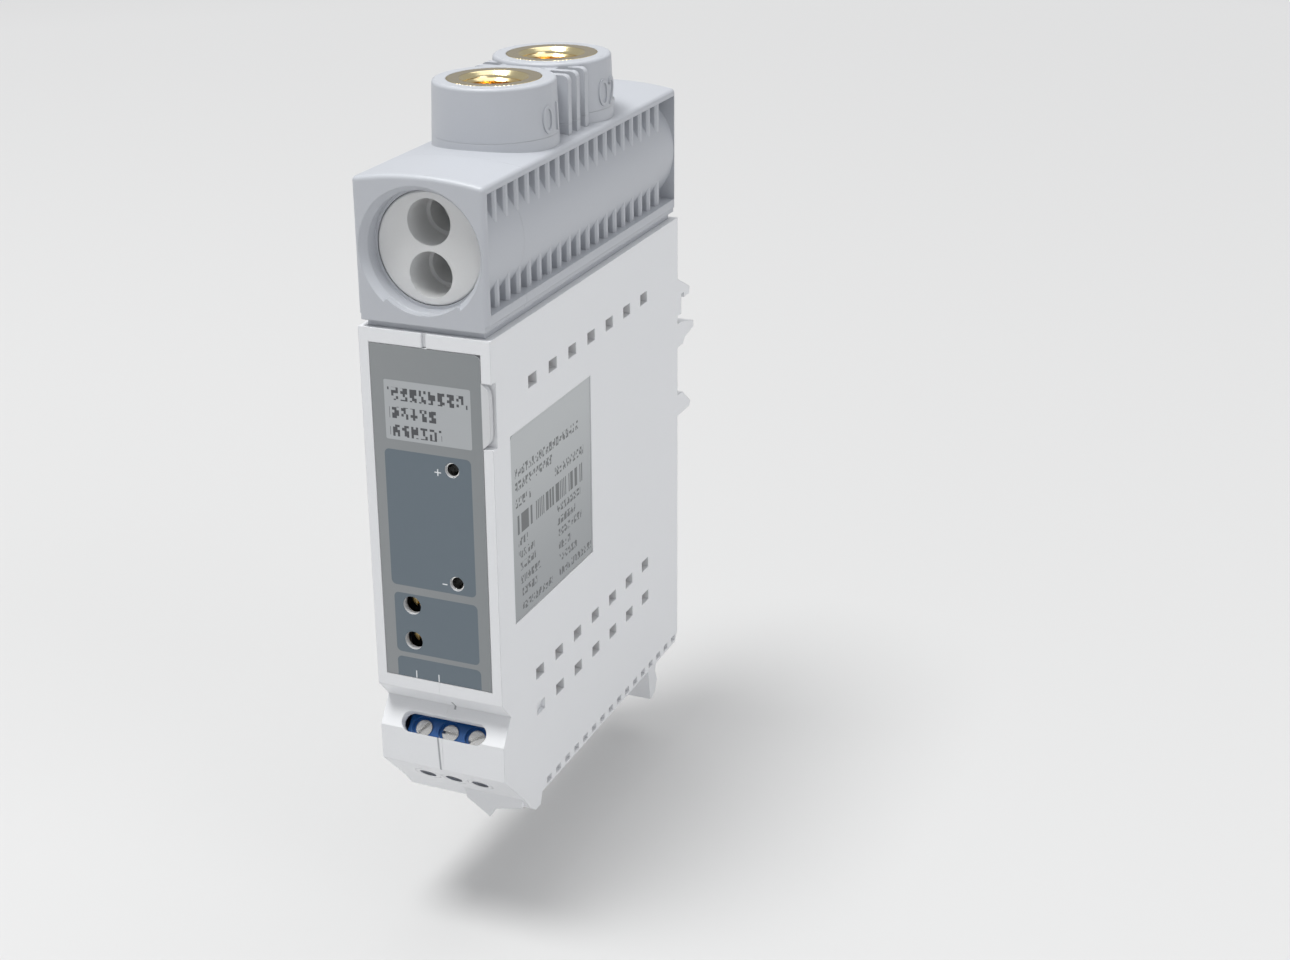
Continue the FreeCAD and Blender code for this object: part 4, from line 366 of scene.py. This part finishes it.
def makeShellPlastic(s):
    finish, tree, shader = startFinish("shellPlastic")
    shader.inputs["Roughness"].default_value = s["roughness"]
    grain = addGrain(tree, shader, s["grainSize"], s["grainHeight"], s["edge"])
    colour = mixColours(tree, grain, shaded(s["colour"], s["shade"]), s["colour"])
    x, y, z = placeAxes(tree)
    front = addMath(tree, "LESS_THAN", y, frontFace + s["frontDepth"])
    for low, high, xLow, xHigh in s["seam"]:
        middle = addRamp(tree, z, low * mm, high * mm, xLow * mm, xHigh * mm)
        off = addMath(tree, "ABSOLUTE", addMath(tree, "SUBTRACT", x, middle))
        line = addRamp(tree, off, *(share * s["seamWidth"] for share in s["seamFade"]), 1.0, 0.0)
        inside = addBetween(tree, z, low * mm, high * mm)
        mask = addMath(tree, "MULTIPLY", addMath(tree, "MULTIPLY", line, inside), front)
        colour = mixColours(tree, mask, colour, s["seamColour"])
    tree.links.new(colour, shader.inputs["Base Color"])
    return finish


finishes["shellPlastic"] = makeShellPlastic(shellSet)


# printed front panel
panelSet = {  # boxes are left, right, low, high in mm, then corner in mm and colour
    "plastic": (0.640, 0.650, 0.665, 1),  # edges, hole walls and tab
    # painted shade: the base print is lit on the left and darker towards the right
    "baseLit": (0.270, 0.284, 0.292, 1),
    "baseShaded": (0.250, 0.266, 0.275, 1),
    "fields": {
        "lightField": ((-7.6, 7.96, 14.7, 24.9), 0.3, (0.425, 0.443, 0.458, 1)),
        "testField": ((-8.1, 7.65, -11.3, 12.95), 0.9, (0.130, 0.165, 0.195, 1)),
        "trimField": ((-7.75, 7.8, -23.7, -12.7), 0.9, (0.130, 0.165, 0.195, 1)),
        "wireField": ((-7.75, 8.0, -32.0, -24.6), 0.9, (0.130, 0.165, 0.195, 1)),
    },
    "marks": {
        "plusAcross": (0.95, 2.15, 9.90, 10.10),
        "plusUp": (1.45, 1.65, 9.40, 10.60),
        "minusAcross": (1.50, 2.40, -9.90, -9.70),
        "leftTick": (-4.35, -4.15, -28.6, -26.9),
        "midTick": (-0.10, 0.10, -28.6, -26.9),
    },
    "markColour": (0.75, 0.77, 0.79, 1),
    "writing": {  # unreadable rows: left, right, low, high in mm, cell size in mm, colour
        "rowOne": ((-7.0, 7.4, 21.5, 23.7), 0.42, (0.075, 0.078, 0.085, 1)),
        "rowTwo": ((-6.8, 2.0, 18.4, 20.4), 0.42, (0.075, 0.078, 0.085, 1)),
        "rowThree": ((-6.8, 2.6, 15.3, 17.3), 0.42, (0.075, 0.078, 0.085, 1)),
    },
    "markCorner": 0.02,  # mm
    "rowShare": 1.15,  # height of a cell of the writing, as a share of its width
    "edge": 0.03,  # mm, softness of the print's edge
    "roughness": 0.45,
    "grain": (0.2 * mm, 0.004 * mm, 0.15 * mm),  # size, height and edge softness
    "shadeReach": 9.9,  # mm to both sides, over which the painted shade grows
    "tabStart": 9.9,  # mm, where the bare tab begins
    "printDepth": 0.05 * mm,  # behind the front face
}


def makePanelPrint(s):
    finish, tree, shader = startFinish("panelPrint")
    x, y, z = placeAxes(tree)
    reach = s["shadeReach"] * mm
    # painted shade, darker towards the right of the panel
    colour = mixColours(tree, addRamp(tree, x, -reach, reach, 0.0, 1.0), s["baseLit"], s["baseShaded"])
    for box, corner, paint in s["fields"].values():
        colour = mixColours(tree, boxMask(tree, x, z, box, corner, s["edge"]), colour, paint)
    for box in s["marks"].values():
        mask = boxMask(tree, x, z, box, s["markCorner"], s["edge"])
        colour = mixColours(tree, mask, colour, s["markColour"])
    for box, cell, ink in s["writing"].values():
        written = dashWriting(tree, x, z, cell * s["rowShare"], cell)
        mask = addMath(tree, "MULTIPLY", written, boxMask(tree, x, z, box, s["markCorner"], s["edge"]))
        colour = mixColours(tree, mask, colour, ink)
    face = addMath(tree, "LESS_THAN", y, frontFace + s["printDepth"])
    printed = addMath(tree, "MULTIPLY", face, addMath(tree, "LESS_THAN", x, s["tabStart"] * mm))
    tree.links.new(mixColours(tree, printed, s["plastic"], colour), shader.inputs["Base Color"])
    shader.inputs["Roughness"].default_value = s["roughness"]
    addGrain(tree, shader, *s["grain"])
    return finish


finishes["panelPrint"] = makePanelPrint(panelSet)


# side label with rows of unreadable small print, and painted shade that darkens it towards the bottom
labelSet = {
    # painted shade: the paper goes from shaded at the bottom to lit at the top
    "paperShaded": (0.340, 0.357, 0.370, 1),
    "paperLit": (0.500, 0.520, 0.530, 1),
    "fade": (-18, 15),  # mm, heights of the darkest and the lightest paper: painted shade, darker towards the bottom
    "ink": (0.080, 0.085, 0.090, 1),
    "roughness": 0.4,
    "grain": (0.2 * mm, 0.003 * mm),
    "front": -75.9,  # mm, the label's front edge
    "length": 32.3,  # mm
    "rows": [  # height of the row's middle in mm, row height, then starts and ends as shares of the length
        (8.2, 1.6, (0.05, 0.84)),
        (5.8, 1.6, (0.05, 0.50)),
        (2.9, 1.6, (0.05, 0.23), (0.53, 0.90)),
        (-4.3, 1.4, (0.07, 0.18), (0.55, 0.85)),
        (-6.6, 1.4, (0.07, 0.26), (0.55, 0.78)),
        (-8.8, 1.4, (0.08, 0.27), (0.56, 0.86)),
        (-11.3, 1.4, (0.09, 0.33), (0.56, 0.72)),
        (-13.6, 1.4, (0.10, 0.28), (0.56, 0.80)),
        (-16.3, 1.4, (0.10, 0.47), (0.56, 0.98)),
    ],
    "cell": 0.34,  # mm, width of a cell of the writing
    "rowShare": 1.2,  # its height, as a share of the width
    "corner": 0.01,  # mm
    "edge": 0.03,  # mm
    "bars": (0.6, -2.8, 0.06, 0.88),  # top, bottom, start and end of the row of bars
    "barPitch": 0.36,  # mm
    "barGaps": 0.45,  # share of the row without ink
}


def makeLabelPaper(s):
    finish, tree, shader = startFinish("labelPaper")
    y, z = placeAxes(tree)[1:]
    low, high = (v * mm for v in s["fade"])
    # painted shade, darker towards the bottom of the label
    colour = mixColours(tree, addRamp(tree, z, low, high, 0.0, 1.0, True), s["paperShaded"], s["paperLit"])

    def inkRow(inked, start, end, bottom, top):
        box = (s["front"] + start * s["length"], s["front"] + end * s["length"], bottom, top)
        mask = addMath(tree, "MULTIPLY", inked, boxMask(tree, y, z, box, s["corner"], s["edge"]))
        return mixColours(tree, mask, colour, s["ink"])

    writing = dashWriting(tree, y, z, s["cell"] * s["rowShare"], s["cell"])
    for middle, tall, *spans in s["rows"]:
        for start, end in spans:
            colour = inkRow(writing, start, end, middle - tall / 2, middle + tall / 2)
    top, bottom, start, end = s["bars"]
    chance = addNode(tree, "ShaderNodeTexWhiteNoise", noise_dimensions="1D")
    column = addMath(tree, "FLOOR", addMath(tree, "DIVIDE", y, s["barPitch"] * mm))
    tree.links.new(column, chance.inputs["W"])
    bars = addMath(tree, "GREATER_THAN", chance.outputs["Value"], s["barGaps"])
    colour = inkRow(bars, start, end, bottom, top)
    tree.links.new(colour, shader.inputs["Base Color"])
    shader.inputs["Roughness"].default_value = s["roughness"]
    addGrain(tree, shader, *s["grain"])
    return finish


finishes["labelPaper"] = makeLabelPaper(labelSet)


# circuit boards
boardSet = {
    "resin": (0.330, 0.190, 0.085, 1),
    "copper": (0.420, 0.270, 0.120, 1),
    "trackSize": 2.2 * mm,
    "trackShare": 0.06,  # half the width of a track, as a share of its size
    "roughness": 0.45,
}


def makeBoardResin(s):
    finish, tree, shader = startFinish("boardResin")
    weave = addNode(tree, "ShaderNodeTexVoronoi", distance="MANHATTAN", feature="DISTANCE_TO_EDGE")
    weave.inputs["Scale"].default_value = 1 / s["trackSize"]
    tree.links.new(addNode(tree, "ShaderNodeTexCoord").outputs["Object"], weave.inputs["Vector"])
    track = addMath(tree, "LESS_THAN", weave.outputs["Distance"], s["trackShare"])
    tree.links.new(mixColours(tree, track, s["resin"], s["copper"]), shader.inputs["Base Color"])
    shader.inputs["Roughness"].default_value = s["roughness"]
    return finish


finishes["boardResin"] = makeBoardResin(boardSet)


# which finish each slot of the record gets
finishOfSlot = {
    "block_grey": "blockPlastic", "shell_white": "shellPlastic", "rotor_grey": "rotorPlastic",
    "panel_grey": "panelPrint", "label_grey": "labelPaper", "terminal_blue": "terminalPlastic",
    "brass": "brassMetal", "steel": "steelMetal", "tin": "tinMetal", "rubber": "sealRubber",
    "board": "boardResin", "black_plastic": "blackPlastic", "sensor_plastic": "sensorPlastic",
    "capacitor_can": "canMetal", "trimmer_blue": "trimmerPlastic", "surge_yellow": "surgeCoat",
}
slotOfNode = {part["node"]: part["material_slot"] for part in frame["record"]["subparts"]}
for node, item in frame["nodes"].items():
    item.data.materials.clear()
    item.data.materials.append(finishes[finishOfSlot[slotOfNode[node]]])
print("finishes on", len(frame["nodes"]), "pieces")


# steps that both shapes made by geometry nodes share
def startShapeTree(title, inputs, placeName):  # named sizes, and the place where the shape stands
    tree = bpy.data.node_groups.new(title, "GeometryNodeTree")
    tree.interface.new_socket("Geometry", in_out="INPUT", socket_type="NodeSocketGeometry")
    tree.interface.new_socket("Geometry", in_out="OUTPUT", socket_type="NodeSocketGeometry")
    sockets = {}
    for name, value in inputs.items():
        socket = tree.interface.new_socket(name, in_out="INPUT", socket_type="NodeSocketFloat")
        socket.default_value = value
        sockets[name] = socket.identifier
    place = tree.interface.new_socket(placeName, in_out="INPUT", socket_type="NodeSocketVector")
    sockets[placeName] = place.identifier
    return tree, sockets, addNode(tree, "NodeGroupInput")


def endShapeTree(tree, shape, metal):  # plain geometry with its finish
    whole = addNode(tree, "GeometryNodeRealizeInstances")
    tree.links.new(shape, whole.inputs["Geometry"])
    painted = addNode(tree, "GeometryNodeSetMaterial")
    painted.inputs["Material"].default_value = metal
    tree.links.new(whole.outputs["Geometry"], painted.inputs["Geometry"])
    tree.links.new(painted.outputs["Geometry"], addNode(tree, "NodeGroupOutput").inputs["Geometry"])


def outward(mesh):  # turns the faces out if the closed shape is inside out
    volume = 0.0
    for face in mesh.polygons:
        corners = [mesh.vertices[i].co for i in face.vertices]
        for a, b in zip(corners[1:], corners[2:]):
            volume += corners[0].dot(a.cross(b))
    if volume < 0:
        mesh.flip_normals()


def solveShape(name, tree, sockets, values):  # runs the tree once and keeps a plain mesh
    blank = addItem(name + "Maker", bpy.data.meshes.new(name + "Maker"))
    maker = blank.modifiers.new(tree.name, "NODES")
    maker.node_group = tree
    for label, value in values.items():
        maker[sockets[label]] = value
    bpy.context.view_layer.update()
    solved = blank.evaluated_get(bpy.context.evaluated_depsgraph_get())
    mesh = bpy.data.meshes.new_from_object(solved)
    mesh.name = name
    bpy.data.objects.remove(blank)
    outward(mesh)
    mesh.shade_smooth()
    return addItem(name, mesh)


# brass inserts: a turned ring with a cut thread for each port
insertSet = {  # sizes in mm
    "profile": [  # share of the walk round the section, radius, depth below the top
        (0.000, 7.88, 8.78),
        (0.040, 7.88, 0.12),
        (0.055, 7.74, 0.00),
        (0.100, 5.86, 0.00),
        (0.115, 5.74, 0.05),
        (0.160, 4.95, 0.95),
        (0.200, 4.45, 1.25),
        (0.960, 4.40, 8.78),
        (1.000, 7.88, 8.78),
    ],
    "rimSpan": (0.030, 0.054),  # the same walk, where the teeth of the rim are
    "boreSpan": (0.116, 0.955),  # and where the thread is
    "threadFade": 0.5,  # length over which the thread reaches its depth
    "merge": 0.001,
    "sharpAngle": 28,  # degrees
    "inputs": {
        "Thread Pitch": 0.94 * mm,
        "Thread Depth": 0.46 * mm,
        "Thread Start": 0.75 * mm,
        "Tooth Depth": 0.16 * mm,
        "Tooth Count": 64.0,
    },
    "around": 193,  # points round the ring
    "along": 150,  # points round its section
    "ports": {"lowPortThread": "low_port_insert", "highPortThread": "high_port_insert"},
}


def addOutline(tree, s, walk):  # radius and depth at a share of the walk round the section
    first = s["profile"][0]
    radius, depth = first[1] * mm, first[2] * mm
    for (walkA, radiusA, depthA), (walkB, radiusB, depthB) in zip(s["profile"], s["profile"][1:]):
        if radiusA != radiusB:
            step = addRamp(tree, walk, walkA, walkB, 0.0, (radiusB - radiusA) * mm)
            radius = addMath(tree, "ADD", step, radius)
        if depthA != depthB:
            step = addRamp(tree, walk, walkA, walkB, 0.0, (depthB - depthA) * mm)
            depth = addMath(tree, "ADD", step, depth)
    return radius, depth


def makeInsertTree(s, metal):
    tree, sockets, start = startShapeTree("turnedInsert", s["inputs"], "Top Middle")
    grid = addNode(tree, "GeometryNodeMeshGrid")
    grid.inputs["Size X"].default_value = 1.0
    grid.inputs["Size Y"].default_value = 1.0
    grid.inputs["Vertices X"].default_value = s["around"]
    grid.inputs["Vertices Y"].default_value = s["along"]
    split = addNode(tree, "ShaderNodeSeparateXYZ")
    tree.links.new(addNode(tree, "GeometryNodeInputPosition").outputs[0], split.inputs[0])
    turn = addMath(tree, "MULTIPLY", addMath(tree, "ADD", split.outputs["X"], 0.5), 2 * math.pi)
    walk = addMath(tree, "ADD", split.outputs["Y"], 0.5)
    radius, depth = addOutline(tree, s, walk)

    # thread: a wave that climbs one pitch each turn
    pitches = addMath(tree, "DIVIDE", depth, start.outputs["Thread Pitch"])
    turns = addMath(tree, "DIVIDE", turn, 2 * math.pi)
    wave = addMath(tree, "PINGPONG", addMath(tree, "ADD", pitches, turns), 0.5)
    below = addMath(tree, "SUBTRACT", depth, start.outputs["Thread Start"])
    fade = addRamp(tree, below, 0.0, s["threadFade"] * mm, 0.0, 1.0)
    share = addMath(tree, "MULTIPLY", addBetween(tree, walk, *s["boreSpan"]), fade)
    deepest = addMath(tree, "MULTIPLY", start.outputs["Thread Depth"], share)
    groove = addMath(tree, "MULTIPLY", addMath(tree, "MULTIPLY", wave, 2.0), deepest)
    radius = addMath(tree, "ADD", radius, groove)

    # teeth of the rim
    teeth = addMath(tree, "SINE", addMath(tree, "MULTIPLY", turn, start.outputs["Tooth Count"]))
    rim = addBetween(tree, walk, *s["rimSpan"])
    deepest = addMath(tree, "MULTIPLY", start.outputs["Tooth Depth"], rim)
    notch = addMath(tree, "MULTIPLY", addMath(tree, "LESS_THAN", teeth, 0.0), deepest)
    radius = addMath(tree, "SUBTRACT", radius, notch)

    # the grid rolled up into the ring
    place = addNode(tree, "ShaderNodeCombineXYZ")
    tree.links.new(addMath(tree, "MULTIPLY", radius, addMath(tree, "COSINE", turn)), place.inputs[0])
    tree.links.new(addMath(tree, "MULTIPLY", radius, addMath(tree, "SINE", turn)), place.inputs[1])
    tree.links.new(addMath(tree, "MULTIPLY", depth, -1.0), place.inputs[2])
    moved = addNode(tree, "ShaderNodeVectorMath", operation="ADD")
    tree.links.new(place.outputs[0], moved.inputs[0])
    tree.links.new(start.outputs["Top Middle"], moved.inputs[1])
    shape = addNode(tree, "GeometryNodeSetPosition")
    tree.links.new(grid.outputs["Mesh"], shape.inputs["Geometry"])
    tree.links.new(moved.outputs[0], shape.inputs["Position"])
    joined = addNode(tree, "GeometryNodeMergeByDistance")
    joined.inputs["Distance"].default_value = s["merge"] * mm
    tree.links.new(shape.outputs["Geometry"], joined.inputs["Geometry"])
    endShapeTree(tree, joined.outputs["Geometry"], metal)
    return tree, sockets


def makeInserts(s):
    tree, sockets = makeInsertTree(s, finishes["threadBrass"])
    for name, node in s["ports"].items():
        low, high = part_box(node)
        topMiddle = ((low[0] + high[0]) / 2, (low[1] + high[1]) / 2, high[2])
        item = solveShape(name, tree, sockets, {**s["inputs"], "Top Middle": topMiddle})
        item.data.set_sharp_from_angle(angle=math.radians(s["sharpAngle"]))
        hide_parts(node)
        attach(item, "housing")
        print(name, len(item.data.polygons), "faces")


# turned brass: pale on the flat ring, with a painted highlight on the cone and painted shade, deep gold,
# down the grooves of the bore
threadSet = {
    "ring": (0.760, 0.640, 0.400, 1),
    "coneHighlight": (0.930, 0.800, 0.480, 1),
    # painted shade, deeper down the bore
    "groove": (0.680, 0.400, 0.090, 1),
    "highlightStart": (0.02 * mm, 0.12 * mm),  # depths over which the ring turns into the cone's painted highlight
    # depths over which the painted shade of the bore sets in
    "boreShadeStart": (0.9 * mm, 2.2 * mm),
    "roughness": 0.20,
    "spread": 0.10,  # of the roughness, over the grain
    "grain": (0.30 * mm, 0.003 * mm, 0.05 * mm),  # size, height and edge softness
}


def makeThreadBrass(s):
    finish, tree, shader = startFinish("threadBrass")
    shader.inputs["Metallic"].default_value = 1.0
    z = placeAxes(tree)[2]
    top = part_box("low_port_insert")[1][2]
    drop = addMath(tree, "SUBTRACT", top, z)
    # painted highlight on the cone
    colour = mixColours(tree, addRamp(tree, drop, *s["highlightStart"], 0.0, 1.0), s["ring"], s["coneHighlight"])
    # painted shade down the bore
    colour = mixColours(tree, addRamp(tree, drop, *s["boreShadeStart"], 0.0, 1.0), colour, s["groove"])
    tree.links.new(colour, shader.inputs["Base Color"])
    grain = addGrain(tree, shader, *s["grain"])
    rough = addMath(tree, "MULTIPLY_ADD", grain, s["spread"], s["roughness"] - s["spread"] / 2)
    tree.links.new(rough, shader.inputs["Roughness"])
    return finish


finishes["threadBrass"] = makeThreadBrass(threadSet)
makeInserts(insertSet)
print("inserts made")


# latch spring: wire on a helix
springSet = {
    "inputs": {
        "Wire Radius": 0.2 * mm,
        "Coil Radius": 0.95 * mm,
        "Turns": 6.0,
        "Length": 10 * mm,  # until the real height is known
    },
    "steps": 32,  # points on each turn
    "section": 12,  # points round the wire
    "keep": 0.66,  # share of its length that is left when the latch is down
}


def makeSpringTree(s, metal):
    tree, sockets, start = startShapeTree("coiledWire", s["inputs"], "Foot")
    coil = addNode(tree, "GeometryNodeCurveSpiral")
    coil.inputs["Resolution"].default_value = s["steps"]
    tree.links.new(start.outputs["Turns"], coil.inputs["Rotations"])
    tree.links.new(start.outputs["Coil Radius"], coil.inputs["Start Radius"])
    tree.links.new(start.outputs["Coil Radius"], coil.inputs["End Radius"])
    tree.links.new(start.outputs["Length"], coil.inputs["Height"])
    section = addNode(tree, "GeometryNodeCurvePrimitiveCircle")
    section.inputs["Resolution"].default_value = s["section"]
    tree.links.new(start.outputs["Wire Radius"], section.inputs["Radius"])
    wire = addNode(tree, "GeometryNodeCurveToMesh")
    wire.inputs["Fill Caps"].default_value = True
    tree.links.new(coil.outputs["Curve"], wire.inputs["Curve"])
    tree.links.new(section.outputs["Curve"], wire.inputs["Profile Curve"])
    placed = addNode(tree, "GeometryNodeTransform")
    tree.links.new(wire.outputs["Mesh"], placed.inputs["Geometry"])
    tree.links.new(start.outputs["Foot"], placed.inputs["Translation"])
    endShapeTree(tree, placed.outputs["Geometry"], metal)
    return tree, sockets


def makeSpring(s):
    tree, sockets = makeSpringTree(s, finishes["steelMetal"])
    low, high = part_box("latch_spring")
    wire = s["inputs"]["Wire Radius"]
    foot = ((low[0] + high[0]) / 2, (low[1] + high[1]) / 2, low[2] + wire)
    values = {**s["inputs"], "Length": high[2] - low[2] - 2 * wire, "Foot": foot}
    item = solveShape("latchCoil", tree, sockets, values)
    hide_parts("latch_spring")
    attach(item, "housing")
    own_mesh(item)


makeSpring(springSet)
print("spring made")


# raised port numbers on the right side of the bosses
numberSet = {
    "texts": {"lowPortNumber": ("01", "low_port_insert"), "highPortNumber": ("02", "high_port_insert")},
    "height": 4.6,  # mm
    "fontShare": 1.42,  # the font's size for figures one high
    "thick": 0.5,  # before the figures are bent round the boss
    "resolution": 6,
    "low": 60.4,  # mm, foot of the figures
    "radiusTop": 10.2,  # mm, boss radius at its top
    "draft": 2.0,  # degrees
    "sunk": 0.15,  # mm under the boss's surface
    "proud": 0.28,  # mm over it
}


def makeNumber(name, text, node, s):
    curve = bpy.data.curves.new(name + "Curve", "FONT")
    curve.body = text
    curve.align_x = "CENTER"
    curve.size = s["height"] * s["fontShare"]
    curve.extrude = s["thick"]
    curve.resolution_u = s["resolution"]
    maker = addItem(name + "Curve", curve)
    mesh = bpy.data.meshes.new_from_object(maker)
    bpy.data.objects.remove(maker)
    low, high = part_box(node)
    across, along, top = (low[0] + high[0]) / 2, (low[1] + high[1]) / 2, high[2]
    for point in mesh.vertices:
        height = s["low"] + point.co.y
        rise = s["proud"] if point.co.z > 0 else -s["sunk"]
        base = s["radiusTop"] + (top / mm - height) * math.tan(math.radians(s["draft"]))
        angle = point.co.x / base
        radius = (base + rise) * mm
        point.co = (across + radius * math.cos(angle), along + radius * math.sin(angle), height * mm)
    mesh.materials.clear()
    mesh.materials.append(finishes["blockPlastic"])
    outward(mesh)
    item = addItem(name, mesh)
    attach(item, "housing")


for name, (text, node) in numberSet["texts"].items():
    makeNumber(name, text, node, numberSet)
print("port numbers made")
